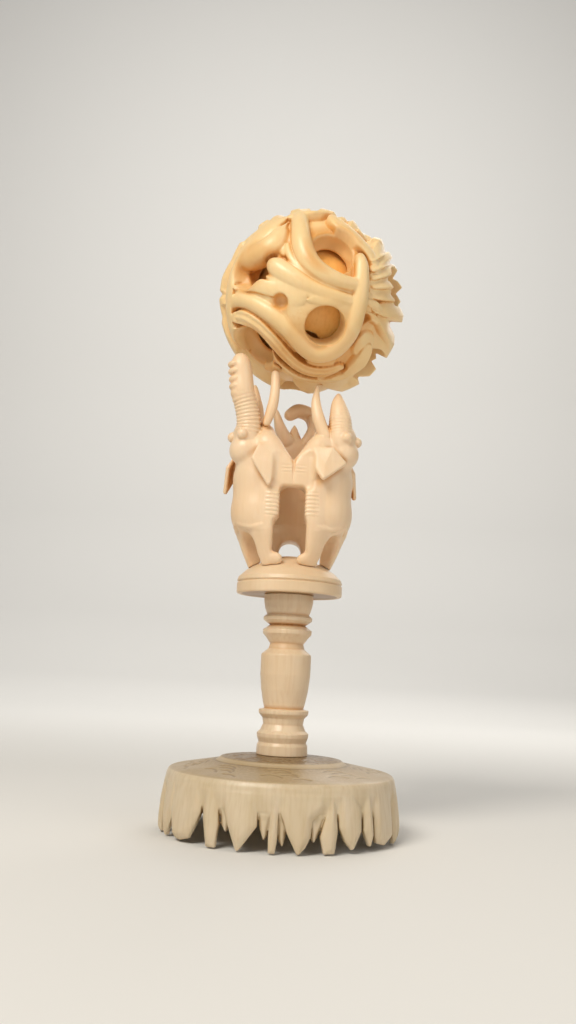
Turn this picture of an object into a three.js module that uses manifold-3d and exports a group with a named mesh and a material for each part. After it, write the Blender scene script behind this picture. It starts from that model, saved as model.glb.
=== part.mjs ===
// Carved openwork puzzle ball on its stand: a domed base with a toothed skirt, a turned
// column, a round platform, three elephants carved in one piece, and a ball within a ball.
// Millimetres, Z up, origin at the bottom centre. The viewer stands on the -Y side.

import * as THREE from 'three';
import { mergeVertices } from 'three/addons/utils/BufferGeometryUtils.js';
import { ConvexGeometry } from 'three/addons/geometries/ConvexGeometry.js';
import Module from 'manifold-3d';

const wasm = await Module();
wasm.setup();

// Driving sizes.
// base
const rimRadius = 23.75;
const rimHeight = 11.4;
const footRadius = 25.05;
const baseTop = 15.5;
const skirtCeiling = 9.2;
const toothRepeats = 14;
const firstLeafAngle = 8.5;
const pegOffset = -11.9;
const notchHeight = 6.4;

// column and platform
const pieceGap = 0.3;
const columnTop = 48.6;
const platformBottom = 48.9;
const platformRadius = 11.35;
const platformTop = 57.2;

// balls
const ballCentre = [2.1, 0, 115.5];
const groundRadius = 18.6;
const crestRadius = 20.9;
const shellInside = 14.6;
const boreInside = 3.8;
const boreOutside = 4.7;
const innerBallRadius = 13.9;
const innerBallInside = 11.4;
const innerBallBore = 2.7;
const innerBallDrop = 0.35;

// elephants: azimuth of each back, measured from the viewer's side towards +X
const elephantCentreX = -0.3;
const elephantAngles = { left: -61, right: 59, rear: 180 };

// Shared helpers.
const rad = (degrees) => degrees * Math.PI / 180;
const mix = (a, b, t) => a + (b - a) * t;

function toSolid(geometry) {
  const plain = geometry.index ? geometry.toNonIndexed() : geometry.clone();
  for (const name of Object.keys(plain.attributes)) {
    if (name !== 'position') plain.deleteAttribute(name);
  }
  const merged = mergeVertices(plain, 1e-4);
  const mesh = new wasm.Mesh({
    numProp: 3,
    vertProperties: new Float32Array(merged.attributes.position.array),
    triVerts: new Uint32Array(merged.index.array),
  });
  mesh.merge();
  return new wasm.Manifold(mesh);
}

function toGeometry(solid) {
  const mesh = solid.getMesh();
  const geometry = new THREE.BufferGeometry();
  geometry.setAttribute('position', new THREE.BufferAttribute(new Float32Array(mesh.vertProperties), 3));
  geometry.setIndex(new THREE.BufferAttribute(new Uint32Array(mesh.triVerts), 1));
  const split = geometry.toNonIndexed();
  split.computeVertexNormals();
  return split;
}

function unite(solids) {
  return solids.reduce((sum, solid) => sum.add(solid));
}

// The largest shell alone, so that pockets closed in between joined forms are filled,
// with facets finer than the given step merged.
function settled(solid, step) {
  const shells = solid.simplify(step).decompose();
  return shells.reduce((best, shell) => (shell.volume() > best.volume() ? shell : best));
}

// A profile of [radius, height] pairs turned round the upright axis.
function turned(profile, segments) {
  const points = profile.map(([r, z]) => new THREE.Vector2(r, z));
  const geometry = new THREE.LatheGeometry(points, segments);
  geometry.rotateX(Math.PI / 2);
  return geometry;
}

// Point on an upright cylinder round the axis.
function around(angle, radius, height) {
  return new THREE.Vector3(radius * Math.sin(rad(angle)), -radius * Math.cos(rad(angle)), height);
}

function hull(points) {
  return new ConvexGeometry(points);
}

// Points of a small faceted ellipsoid, used as one end of a hull.
function knob(centre, radii, rings = 2, sides = 6) {
  const [cx, cy, cz] = centre;
  const [rx, ry, rz] = Array.isArray(radii) ? radii : [radii, radii, radii];
  const points = [new THREE.Vector3(cx, cy, cz + rz), new THREE.Vector3(cx, cy, cz - rz)];
  for (let i = 1; i <= rings; i += 1) {
    const tilt = Math.PI * i / (rings + 1);
    for (let j = 0; j < sides; j += 1) {
      const turn = 2 * Math.PI * (j + 0.5 * (i % 2)) / sides;
      points.push(new THREE.Vector3(
        cx + rx * Math.sin(tilt) * Math.cos(turn),
        cy + ry * Math.sin(tilt) * Math.sin(turn),
        cz + rz * Math.cos(tilt),
      ));
    }
  }
  return points;
}

// A tapering round bar through the given points: one ring of sides at each.
function bar(path, radii, sides = 7) {
  const curve = new THREE.CatmullRomCurve3(path.map((p) => new THREE.Vector3(...p)));
  const steps = Math.round((path.length - 1) * 1.6);
  const positions = [];
  const indices = [];
  const reference = new THREE.Vector3(0.31, 0.77, 0.13).normalize();
  for (let i = 0; i <= steps; i += 1) {
    const t = i / steps;
    const centre = curve.getPoint(t);
    const along = curve.getTangent(t);
    const side = reference.clone().cross(along).normalize();
    const up = along.clone().cross(side).normalize();
    const place = t * (radii.length - 1);
    const low = Math.min(Math.floor(place), radii.length - 2);
    const radius = mix(radii[low], radii[low + 1], place - low);
    for (let j = 0; j < sides; j += 1) {
      const turn = 2 * Math.PI * j / sides;
      const p = centre.clone().addScaledVector(side, radius * Math.cos(turn));
      p.addScaledVector(up, radius * Math.sin(turn));
      positions.push(p.x, p.y, p.z);
    }
  }
  return closedTube(positions, indices, steps, sides);
}

// Skins rings of equal size into one closed tube with fan caps.
function closedTube(positions, indices, steps, sides) {
  for (let i = 0; i < steps; i += 1) {
    for (let j = 0; j < sides; j += 1) {
      const a = i * sides + j;
      const b = i * sides + (j + 1) % sides;
      indices.push(a, b, a + sides, b, b + sides, a + sides);
    }
  }
  for (let j = 1; j < sides - 1; j += 1) {
    indices.push(0, j + 1, j);
    const last = steps * sides;
    indices.push(last, last + j, last + j + 1);
  }
  const geometry = new THREE.BufferGeometry();
  geometry.setAttribute('position', new THREE.Float32BufferAttribute(positions, 3));
  geometry.setIndex(indices);
  return geometry;
}

// Base: a domed disc over a hollow skirt of carved teeth.
function skirtRadius(z) {
  return footRadius - (footRadius - rimRadius) * Math.pow(z / rimHeight, 1.8);
}

const discProfile = [
  [0, skirtCeiling],
  [21.5, skirtCeiling],
  [21.5, 8.3],
  [skirtRadius(8.3), 8.3],
  [rimRadius, rimHeight],
  [23.1, 12.5],
  [13.4, 14.4],
  [12.6, 14.9],
  [5.6, baseTop],
  [0, baseTop],
];

// A closed wall round the axis whose lower edge follows the given [angle, height] pairs.
function fringe(edge, top, inset, thickness) {
  const positions = [];
  const indices = [];
  for (const [angle, z] of edge) {
    const outer = skirtRadius(z) - inset;
    const outerTop = skirtRadius(top) - inset;
    const section = [[outerTop, top], [outer, z], [outer - thickness, z], [outerTop - thickness, top]];
    for (const [radius, height] of section) {
      positions.push(...around(angle, radius, height).toArray());
    }
  }
  const count = edge.length;
  for (let i = 0; i < count; i += 1) {
    const here = i * 4;
    const next = ((i + 1) % count) * 4;
    for (let k = 0; k < 4; k += 1) {
      const a = here + k;
      const b = here + (k + 1) % 4;
      const c = next + (k + 1) % 4;
      const d = next + k;
      indices.push(a, b, c, a, c, d);
    }
  }
  const geometry = new THREE.BufferGeometry();
  geometry.setAttribute('position', new THREE.Float32BufferAttribute(positions, 3));
  geometry.setIndex(indices);
  return geometry;
}

// Broad pointed leaves alternate with narrow flat-ended pegs, and two short teeth
// stand behind each gap.
function skirtWalls() {
  const front = [];
  const behind = [];
  const pitch = 360 / toothRepeats;
  for (let i = 0; i < toothRepeats; i += 1) {
    const leaf = firstLeafAngle + i * pitch;
    const peg = leaf + pegOffset;
    front.push([peg - 4.4, notchHeight], [peg - 2.5, 0], [peg + 2.5, 0]);
    front.push([peg + 4.2, notchHeight], [leaf, 0.15]);
    behind.push([peg - 6.8, 2.2], [peg - 2.4, 5.0], [peg + 5.4, 1.4], [peg + 10.4, 5.0]);
  }
  return [toSolid(fringe(front, 8.8, 0.2, 1.2)), toSolid(fringe(behind, 8.7, 1.1, 1.1))];
}

const baseSolid = settled(unite([toSolid(turned(discProfile, 28)), ...skirtWalls()]), 0.1);

// Column: one turned piece.
const columnProfile = [
  [0, baseTop + pieceGap],
  [5.4, baseTop + pieceGap],
  [5.05, 18.2],
  [5.44, 19.2],
  [5.44, 20.0],
  [4.22, 21.9],
  [4.5, 23.2],
  [5.26, 23.9],
  [5.26, 24.8],
  [4.15, 25.1],
  [4.99, 28.9],
  [5.34, 32.5],
  [5.34, 35.9],
  [3.85, 37.4],
  [3.56, 38.6],
  [5.25, 40.7],
  [5.25, 41.5],
  [3.79, 42.5],
  [5.25, 43.5],
  [5.25, 44.2],
  [4.55, 44.8],
  [5.3, 47.4],
  [5.3, columnTop],
  [0, columnTop],
];

// Platform: a round disc with a groove round its rim and a domed top.
const platformProfile = [
  [0, platformBottom],
  [11.1, platformBottom],
  [platformRadius, 49.3],
  [platformRadius, 51.2],
  [11.1, 51.45],
  [platformRadius, 51.7],
  [11.1, 52.5],
  [8.2, 54.8],
  [5.0, 56.4],
  [2.4, platformTop],
  [0, platformTop],
];

// Elephants: three, carved in one piece.
// Local frame of one elephant: [outwards, sideways, up]. Each stands on its hind legs with
// its back outwards, head thrown back, and its forelegs meet its neighbours' foot to foot.
const eyeSpread = 2.7;
const hip = [9.3, 3.5, 61.5];
const hindFoot = [7.2, 3.2, 54.4];
const footMeeting = 9.6;

function mirrored(point, side) {
  return [point[0], point[1] * side, point[2]];
}

const trunks = {
  left: {
    path: [[12.2, 0, 83], [12.4, 0.2, 88], [13.6, 0.3, 92], [14.6, 0.4, 96], [15.6, 0.4, 100],
      [15.4, 0.3, 103]],
    radii: [2.8, 2.6, 2.3, 1.8, 1.3, 0.9],
  },
  right: {
    path: [[12.2, 0, 83], [11.4, -0.2, 87], [10.3, -0.3, 90.5], [9.7, -0.3, 93.2]],
    radii: [2.9, 2.6, 1.8, 0.6],
  },
  rear: {
    path: [[12, 0, 82.5], [10.4, -4, 86], [8.6, -4.4, 90], [7.6, -1.6, 92.4], [7.2, 1.8, 91.2]],
    radii: [2.5, 2.2, 2.0, 1.7, 1.3],
  },
};

const tuskTips = {
  left: [[7.6, 2.2, 97.0], [10.0, -2.0, 94.2]],
  right: [[9.0, 2.6, 91.5], [5.6, -2.0, 95.0]],
  rear: [[7.0, 3.8, 92.5], [6.2, -2.6, 90.5]],
};

function elephantParts(which) {
  const parts = [];
  const belly = knob([9.4, 0, 65.6], [5.1, 6.2, 6.2], 3, 8);
  const shoulders = knob([9.2, 0, 74.5], [4.5, 5.8, 5.6], 2, 8);
  parts.push(hull([...belly, ...shoulders]));
  parts.push(hull([...knob([10.4, 0, 78.4], [3.4, 4.2, 3.8]), ...knob([12.9, 0, 79.2], [3.4, 3.6, 3.5])]));
  parts.push(hull([...knob([11.9, 0, 83.2], [3.0, 3.4, 2.8]), ...knob([8.6, 0, 82.6], [3.2, 3.7, 3.6])]));
  for (const side of [1, -1]) {
    parts.push(hull([
      ...knob(mirrored(hip, side), [3.6, 2.8, 3.4], 2, 6),
      ...knob(mirrored([8.8, 3.5, 57.6], side), [2.5, 2.2, 1.4], 2, 6),
      ...knob(mirrored(hindFoot, side), [2.1, 2.0, 1.2], 1, 6),
    ]));
    parts.push(hull([
      ...knob(mirrored([8.6, 3.6, 76.4], side), [3.6, 3.0, 4.2], 2, 6),
      ...knob(mirrored([footMeeting * 0.5, footMeeting * 0.866, 73.9], side), [2.3, 2.3, 2.9], 2, 6),
    ]));
    parts.push(hull(knob(mirrored([14.2, eyeSpread, 82.2], side), 1.4, 1, 4)));
    parts.push(earSlab(side));
    const tip = tuskTips[which][side > 0 ? 0 : 1];
    const root = mirrored([8.6, 2.4, 83.5], side);
    const middle = root.map((value, k) => mix(value, tip[k], k === 1 ? 0.4 : 0.5));
    middle[0] -= 0.6;
    middle[1] += side * 0.5;
    parts.push(bar([root, middle, tip], [1.4, 1.3, 0.6], 5));
  }
  parts.push(bar(trunks[which].path, trunks[which].radii, 7));
  return parts;
}

// The ear hangs from behind the eye as a four-cornered flap with its point down.
function earSlab(side) {
  const corners = [
    [12.9, 4.2, 80.0],
    [8.2, 4.8, 80.0],
    [8.4, 6.3, 76.0],
    [10.6, 6.5, 72.2],
    [13.8, 5.4, 75.6],
  ];
  const points = [];
  for (const corner of corners) {
    const [o, t, z] = mirrored(corner, side);
    points.push(new THREE.Vector3(o, t, z), new THREE.Vector3(o - 0.3, t - side * 1.6, z));
  }
  return hull(points);
}

function placed(geometry, angle) {
  const turn = rad(angle - 90);
  const copy = geometry.clone();
  copy.rotateZ(turn);
  copy.translate(elephantCentreX, 0, 0);
  return copy;
}

function elephantGroup() {
  const solids = [];
  for (const [which, angle] of Object.entries(elephantAngles)) {
    for (const geometry of elephantParts(which)) solids.push(toSolid(placed(geometry, angle)));
  }
  return unite(solids);
}

const platformClearance = platformProfile.map(([r, z]) => {
  const lift = z > 49 ? pieceGap : 0;
  return [r === 0 ? 0 : r + 0.2, z + lift];
});
const ballClearance = new THREE.IcosahedronGeometry(crestRadius + 0.6, 4);
ballClearance.translate(...ballCentre);
const elephantSolid = settled(elephantGroup()
  .subtract(toSolid(turned(platformClearance, 28)))
  .subtract(toSolid(ballClearance)), 0.35);

// Balls: a carved shell and a plain ball loose inside it.
function direction(azimuth, elevation) {
  const flat = Math.cos(rad(elevation));
  return new THREE.Vector3(
    Math.sin(rad(azimuth)) * flat,
    -Math.cos(rad(azimuth)) * flat,
    Math.sin(rad(elevation)),
  );
}

// The holes follow a cube: one through each face and one through each corner.
const faceUp = direction(13.9, 17.5);
const faceLeft = direction(-59.7, -37.6);
const faceRight = new THREE.Vector3().crossVectors(faceUp, faceLeft).normalize();
const cubeAxes = [faceUp, new THREE.Vector3().crossVectors(faceRight, faceUp).normalize(), faceRight];

function cubePattern() {
  const [a, b, c] = cubeAxes;
  const holes = [];
  for (const axis of cubeAxes) holes.push(axis.clone(), axis.clone().negate());
  for (const i of [1, -1]) {
    for (const j of [1, -1]) {
      for (const k of [1, -1]) {
        const corner = a.clone().multiplyScalar(i).addScaledVector(b, j).addScaledVector(c, k);
        holes.push(corner.normalize());
      }
    }
  }
  return holes;
}

// The shell's four holes on the viewer's side stand a little off the pattern, and so do
// the four straight behind them.
const frontHoles = [[9.2, -34.2], [12.5, 11.5], [-39, 6], [-58.5, -42]];

function shellHoles() {
  const adjusted = [];
  for (const [azimuth, elevation] of frontHoles) {
    const axis = direction(azimuth, elevation);
    adjusted.push(axis, axis.clone().negate());
  }
  const others = cubePattern().filter((axis) => adjusted.every((hole) => hole.dot(axis) < 0.9));
  return [...adjusted, ...others];
}

function drill(axis, innerRadius, outerRadius, from, to, sides) {
  const geometry = new THREE.CylinderGeometry(outerRadius, innerRadius, to - from, sides);
  geometry.translate(0, (from + to) / 2, 0);
  geometry.applyQuaternion(new THREE.Quaternion().setFromUnitVectors(new THREE.Vector3(0, 1, 0), axis));
  return toSolid(geometry);
}

// A dragon's body lying on the ball: a raised band along a curve over the sphere.
function band(waypoints, width, crest, step = 17) {
  const curve = new THREE.CatmullRomCurve3(waypoints.map(([az, el]) => direction(az, el)));
  const sweep = curve.getLength() * 180 / Math.PI;
  const steps = Math.max(3, Math.round(sweep / step));
  const positions = [];
  const section = [[-0.5, groundRadius - 0.5], [-0.3, crest], [0.3, crest], [0.5, groundRadius - 0.5]];
  for (let i = 0; i <= steps; i += 1) {
    const t = i / steps;
    const out = curve.getPoint(t).normalize();
    const along = curve.getTangent(t);
    const side = along.clone().cross(out).normalize();
    const narrow = 0.55 + 0.45 * Math.min(1, 6 * Math.min(t, 1 - t));
    for (const [across, radius] of section) {
      const angle = across * width * narrow / crest;
      const p = out.clone().multiplyScalar(Math.cos(angle)).addScaledVector(side, Math.sin(angle));
      p.multiplyScalar(radius);
      positions.push(p.x, p.y, p.z);
    }
  }
  return closedTube(positions, [], steps, section.length);
}

const frontBands = [
  { path: [[-15, 58], [-15, 42], [-10.5, 22], [-4, 5], [8, -4.5], [27, -6.8]], width: 3.4, crest: 20.9 },
  { path: [[30.5, 15], [31, -5], [30.5, -26], [23.5, -48], [9, -54.5], [-8, -49], [-20, -35.5], [-40, -19.5],
    [-62, -11]],
    width: 3.7, crest: 20.9 },
  { path: [[-62, -20], [-41, -31], [-29, -48], [-12, -63], [20, -65], [48, -56]], width: 3.6, crest: 20.6 },
  { path: [[-46, -46], [-38, -64], [0, -77], [60, -70]], width: 3.4, crest: 20.3 },
  { path: [[-34, 46], [-43, 28], [-52, 12], [-62, -6], [-70, -26], [-84, -40]], width: 6.0, crest: 20.8 },
  { path: [[-29, 36], [-25, 15], [-17, -2], [0, -12], [22, -16.5]], width: 3.5, crest: 20.7 },
  { path: [[-60, -1], [-35, -8], [-14, -15], [10, -21], [24, -20]], width: 3.6, crest: 20.3 },
  { path: [[8, 44], [18, 34], [34, 26], [45, 12], [51, -4], [60, -20], [66, -38]], width: 5.0, crest: 20.7 },
  { path: [[38, -43], [50, -38], [57, -48], [50, -62]], width: 4.0, crest: 20.5 },
];
const backBandCount = 6;
const finAngles = [24, 43, 57, 69, 79.5, 89, 99, 116, 134];
const finHeight = 21.2;

// The back fin stands on the ball's right edge as a row of pointed plates.
function finSpines() {
  const solids = [];
  const across = direction(91, -4);
  const upright = direction(-1, 67);
  const towardViewer = direction(0, -22);
  const onEdge = (angle, radius, forward) => {
    const p = upright.clone().multiplyScalar(Math.cos(rad(angle)));
    p.addScaledVector(across, Math.sin(rad(angle))).addScaledVector(towardViewer, forward);
    return p.normalize().multiplyScalar(radius);
  };
  finAngles.forEach((angle, index) => {
    const half = index < 2 || index > 6 ? 8 : 5.4;
    const points = [onEdge(angle + 1, finHeight, 0.0), onEdge(angle + 1, finHeight - 0.2, 0.06)];
    for (const forward of [-0.08, 0.14]) {
      points.push(onEdge(angle - half, 19.7, forward), onEdge(angle + half, 19.7, forward));
      points.push(onEdge(angle - half, 17.6, forward), onEdge(angle + half, 17.6, forward));
    }
    solids.push(toSolid(hull(points)));
  });
  return solids;
}

function outerBall() {
  const backTurn = new THREE.Matrix4().makeRotationAxis(
    cubeAxes[0].clone().sub(cubeAxes[2]).normalize(), Math.PI,
  );
  const solids = [toSolid(new THREE.IcosahedronGeometry(groundRadius, 2))];
  frontBands.forEach(({ path, width, crest }, index) => {
    solids.push(toSolid(band(path, width, crest)));
    if (index < backBandCount) {
      solids.push(toSolid(band(path, width, crest, 28).applyMatrix4(backTurn)));
    }
  });
  solids.push(...finSpines());
  let ball = unite(solids);
  ball = ball.subtract(toSolid(new THREE.IcosahedronGeometry(shellInside, 2)));
  for (const axis of shellHoles()) ball = ball.subtract(drill(axis, boreInside, boreOutside, 13, 23, 7));
  return settled(ball, 0.3);
}

function innerBall() {
  let ball = toSolid(new THREE.IcosahedronGeometry(innerBallRadius, 2));
  ball = ball.subtract(toSolid(new THREE.IcosahedronGeometry(innerBallInside, 1)));
  const turn = new THREE.Quaternion().setFromAxisAngle(direction(-92.9, 45.0), rad(63.0));
  for (const axis of cubePattern()) {
    ball = ball.subtract(drill(axis.applyQuaternion(turn), innerBallBore, innerBallBore, 9, 15, 5));
  }
  return settled(ball, 0.05);
}

// The six pieces.
const group = new THREE.Group();
group.name = 'puzzle_ball';

function addPiece(name, geometry, colour, roughness) {
  geometry.computeVertexNormals();
  const material = new THREE.MeshStandardMaterial({ color: colour, roughness, metalness: 0 });
  const mesh = new THREE.Mesh(geometry, material);
  mesh.name = name;
  group.add(mesh);
  return mesh;
}

addPiece('base', toGeometry(baseSolid), 0xd9c295, 0.5);
addPiece('column', toGeometry(toSolid(turned(columnProfile, 14))), 0xe3cba6, 0.45);
addPiece('platform', toGeometry(toSolid(turned(platformProfile, 24))), 0xe3cba6, 0.45);
addPiece('elephants', toGeometry(elephantSolid), 0xe8d0ab, 0.42);

const outer = addPiece('outer_ball', toGeometry(outerBall()), 0xe9cfa4, 0.42);
outer.position.set(...ballCentre);
const inner = addPiece('inner_ball', toGeometry(innerBall()), 0xc99a5c, 0.5);
inner.position.set(ballCentre[0], ballCentre[1], ballCentre[2] - innerBallDrop);

export default group;
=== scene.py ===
import bmesh
import bpy
import itertools
import math
import numpy as np
import openvdb
from mathutils import Matrix, Vector


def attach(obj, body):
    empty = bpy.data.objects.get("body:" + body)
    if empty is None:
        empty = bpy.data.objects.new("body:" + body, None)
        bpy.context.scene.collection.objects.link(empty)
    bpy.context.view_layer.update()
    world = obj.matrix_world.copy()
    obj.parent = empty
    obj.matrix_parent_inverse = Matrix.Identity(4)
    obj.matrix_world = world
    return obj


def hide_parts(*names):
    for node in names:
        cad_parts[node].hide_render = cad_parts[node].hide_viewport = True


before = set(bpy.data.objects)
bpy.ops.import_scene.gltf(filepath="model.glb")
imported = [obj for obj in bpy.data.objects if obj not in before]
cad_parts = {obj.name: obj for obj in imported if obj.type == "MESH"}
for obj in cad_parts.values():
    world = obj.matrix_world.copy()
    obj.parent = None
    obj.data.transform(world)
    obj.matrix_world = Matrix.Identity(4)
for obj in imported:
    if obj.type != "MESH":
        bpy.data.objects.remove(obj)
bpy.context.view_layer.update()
mm = 0.001
print("frame loaded")

# shared sizes in millimetres, the same as the solids'
ballCentre = np.array([2.1, 0.0, 115.5])
shellInside = 14.6
farAway = 9.0


# voxel sculpting: a field that is negative inside the form
def newVolume(low, high, step):
    shape = [int(math.ceil((h - l) / step)) + 1 for l, h in zip(low, high)]
    return {
        "low": np.array(low, np.float32),
        "step": step,
        "field": np.full(shape, farAway, np.float32),
    }


def axesOf(volume):
    low, step, shape = volume["low"], volume["step"], volume["field"].shape
    return [(low[i] + step * np.arange(shape[i])).astype(np.float32) for i in range(3)]


def blockAround(volume, low, high):
    shape = volume["field"].shape
    start = np.floor((np.asarray(low) - volume["low"]) / volume["step"]).astype(int)
    stop = np.ceil((np.asarray(high) - volume["low"]) / volume["step"]).astype(int) + 1
    start = np.clip(start, 0, shape)
    stop = np.clip(stop, 0, shape)
    if np.any(stop <= start):
        return None, None
    axes = [
        (volume["low"][i] + volume["step"] * np.arange(start[i], stop[i])).astype(np.float32)
        for i in range(3)
    ]
    region = tuple(slice(a, b) for a, b in zip(start, stop))
    return region, np.meshgrid(*axes, indexing="ij", sparse=True)


def partsAlong(grid, centre, axes):
    # how far each cell lies from the centre along each of three axes
    x, y, z = (grid[i] - centre[i] for i in range(3))
    return [x * axis[0] + y * axis[1] + z * axis[2] for axis in axes]


def boxReach(axes, half):
    return np.sqrt(((axes * half[:, None]) ** 2).sum(axis=0))


def smoothUnion(a, b, blend):
    if blend <= 0:
        return np.minimum(a, b)
    h = np.clip(0.5 + 0.5 * (b - a) / blend, 0, 1)
    return b + (a - b) * h - blend * h * (1 - h)


def merge(volume, region, distance, blend, cut):
    old = volume["field"][region]
    if cut:
        volume["field"][region] = -smoothUnion(-old, distance, blend)
    else:
        volume["field"][region] = smoothUnion(old, distance, blend)


def addBar(volume, a, b, ra, rb, blend=0.5, cut=False):
    a = np.asarray(a, np.float32)
    b = np.asarray(b, np.float32)
    reach = max(ra, rb) + blend + 1.2
    region, grid = blockAround(volume, np.minimum(a, b) - reach, np.maximum(a, b) + reach)
    if region is None:
        return
    x, y, z = grid
    d = b - a
    t = ((x - a[0]) * d[0] + (y - a[1]) * d[1] + (z - a[2]) * d[2]) / max(float(d @ d), 1e-6)
    t = np.clip(t, 0, 1)
    away = segmentDistance(x, y, z, a, d, t)
    merge(volume, region, away - (ra + (rb - ra) * t), blend, cut)


def segmentDistance(x, y, z, a, d, t):
    return np.sqrt((x - a[0] - d[0] * t) ** 2 + (y - a[1] - d[1] * t) ** 2 + (z - a[2] - d[2] * t) ** 2)


def addBlob(volume, centre, radii, axes=None, blend=0.5, cut=False):
    centre = np.asarray(centre, np.float32)
    radii = np.asarray(radii, np.float32)
    axes = np.eye(3, dtype=np.float32) if axes is None else np.asarray(axes, np.float32)
    reach = boxReach(axes, radii) + blend + 1.2
    region, grid = blockAround(volume, centre - reach, centre + reach)
    if region is None:
        return
    parts = partsAlong(grid, centre, axes)
    near = np.sqrt(sum((parts[i] / radii[i]) ** 2 for i in range(3)))
    far = np.sqrt(sum((parts[i] / radii[i] ** 2) ** 2 for i in range(3)))
    distance = near * (near - 1) / np.maximum(far, 1e-6)
    merge(volume, region, distance, blend, cut)


def addSlab(volume, centre, halfSizes, axes, rounding=0.3, blend=0.3, cut=False):
    centre = np.asarray(centre, np.float32)
    axes = np.asarray(axes, np.float32)
    half = np.asarray(halfSizes, np.float32)
    reach = boxReach(axes, half) + blend + 1.5
    region, grid = blockAround(volume, centre - reach, centre + reach)
    if region is None:
        return
    q = [np.abs(part) - (size - rounding) for part, size in zip(partsAlong(grid, centre, axes), half)]
    outside = np.sqrt(sum(np.maximum(v, 0) ** 2 for v in q))
    inside = np.minimum(np.maximum(np.maximum(q[0], q[1]), q[2]), 0)
    merge(volume, region, outside + inside - rounding, blend, cut)


def addPlate(volume, corners, thickness, blend):
    corners = np.asarray(corners, np.float32)
    reach = thickness + blend + 1.2
    region, grid = blockAround(volume, corners.min(axis=0) - reach, corners.max(axis=0) + reach)
    if region is None:
        return
    x, y, z = np.broadcast_arrays(*grid)
    cells = np.stack([x, y, z], axis=-1).reshape(-1, 3)
    best = np.full(len(cells), 99.0, np.float32)
    for k in range(1, len(corners) - 1):
        best = np.minimum(best, triangleDistance(cells, corners[0], corners[k], corners[k + 1]))
    merge(volume, region, best.reshape(x.shape) - thickness, blend, False)


def triangleDistance(cells, a, b, c):
    normal = np.cross(b - a, c - a)
    inside = np.ones(len(cells), bool)
    best = np.full(len(cells), 1e6, np.float32)
    for p, q in ((a, b), (b, c), (c, a)):
        edge = q - p
        offset = cells - p
        inside &= (offset @ np.cross(edge, normal)) <= 0
        t = np.clip((offset @ edge) / max(float(edge @ edge), 1e-6), 0, 1)
        best = np.minimum(best, ((offset - t[:, None] * edge) ** 2).sum(axis=1))
    flat = np.abs((cells - a) @ normal) / max(float(np.linalg.norm(normal)), 1e-6)
    return np.where(inside, flat, np.sqrt(best)).astype(np.float32)


def addPath(volume, points, radii, blend=0.4, steps=6, cut=False):
    curve = smoothPath(points, steps)
    place = np.linspace(0, len(radii) - 1, len(curve))
    widths = np.interp(place, range(len(radii)), radii)
    for i in range(len(curve) - 1):
        addBar(volume, curve[i], curve[i + 1], widths[i], widths[i + 1], blend, cut)


def smoothPath(points, steps=6):
    points = np.asarray(points, float)
    padded = np.vstack([2 * points[0] - points[1], points, 2 * points[-1] - points[-2]])
    out = []
    for i in range(1, len(padded) - 2):
        p0, p1, p2, p3 = padded[i - 1 : i + 3]
        for k in range(steps):
            t = k / steps
            out.append(
                0.5 * (2 * p1 + (p2 - p0) * t + (2 * p0 - 5 * p1 + 4 * p2 - p3) * t**2
                       + (3 * p1 - p0 - 3 * p2 + p3) * t**3)
            )
    out.append(points[-1])
    return np.array(out)


def sampleField(volume, points):
    q = (points - volume["low"]) / volume["step"]
    shape = np.array(volume["field"].shape)
    q = np.clip(q, 0, shape - 1.001)
    i = q.astype(int)
    f = (q - i).astype(np.float32)
    field = volume["field"]
    total = 0
    for corner in itertools.product((0, 1), repeat=3):
        x, y, z = np.where(corner, f, 1 - f).T
        total = total + x * y * z * field[tuple((i + corner).T)]
    return total


def makeMesh(name, points, faces):
    mesh = bpy.data.meshes.new(name)
    mesh.vertices.add(len(points))
    mesh.vertices.foreach_set("co", np.asarray(points, np.float32).ravel())
    sides = faces.shape[1]
    mesh.loops.add(faces.size)
    mesh.loops.foreach_set("vertex_index", faces.ravel().astype(np.int32))
    mesh.polygons.add(len(faces))
    mesh.polygons.foreach_set("loop_start", np.arange(0, faces.size, sides, dtype=np.int32))
    mesh.update(calc_edges=True)
    mesh.validate()
    return mesh


def putInScene(name, data):
    thing = bpy.data.objects.new(name, data)
    bpy.context.scene.collection.objects.link(thing)
    return thing


def placeOf(collection, name="co"):
    values = np.empty(len(collection) * 3, np.float32)
    collection.foreach_get(name, values)
    return values.reshape(-1, 3)


def reportTriangles(thing):
    print(thing.name, "triangles", sum(len(face.vertices) - 2 for face in thing.data.polygons))


def ready(thing, node):
    # the carved mesh stands in for the solid of the same place and finish
    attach(thing, "root")
    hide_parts(node)
    print(node, "ready")


def meshFromVolume(name, volume, mostTriangles, material, finishing=None):
    grid = openvdb.FloatGrid(farAway)
    grid.copyFromArray(volume["field"], tolerance=0.0)
    points, quads = grid.convertToQuads(0.0)
    points = points * volume["step"] + volume["low"]
    thing = putInScene(name, makeMesh(name, points * mm, quads))
    keepLargest(thing)
    if finishing:
        finishing(thing)
    faces = len(thing.data.polygons) * 2
    if faces > mostTriangles:
        lighten = thing.modifiers.new("lighten", "DECIMATE")
        lighten.ratio = mostTriangles / faces
        bakeModifiers(thing)
    paintHollows(thing, volume)
    smooth(thing)
    thing.data.materials.clear()
    thing.data.materials.append(material)
    reportTriangles(thing)
    return thing


def bakeModifiers(thing):
    graph = bpy.context.evaluated_depsgraph_get()
    mesh = bpy.data.meshes.new_from_object(thing.evaluated_get(graph))
    old = thing.data
    thing.modifiers.clear()
    thing.data = mesh
    mesh.name = thing.name
    bpy.data.meshes.remove(old)


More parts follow.
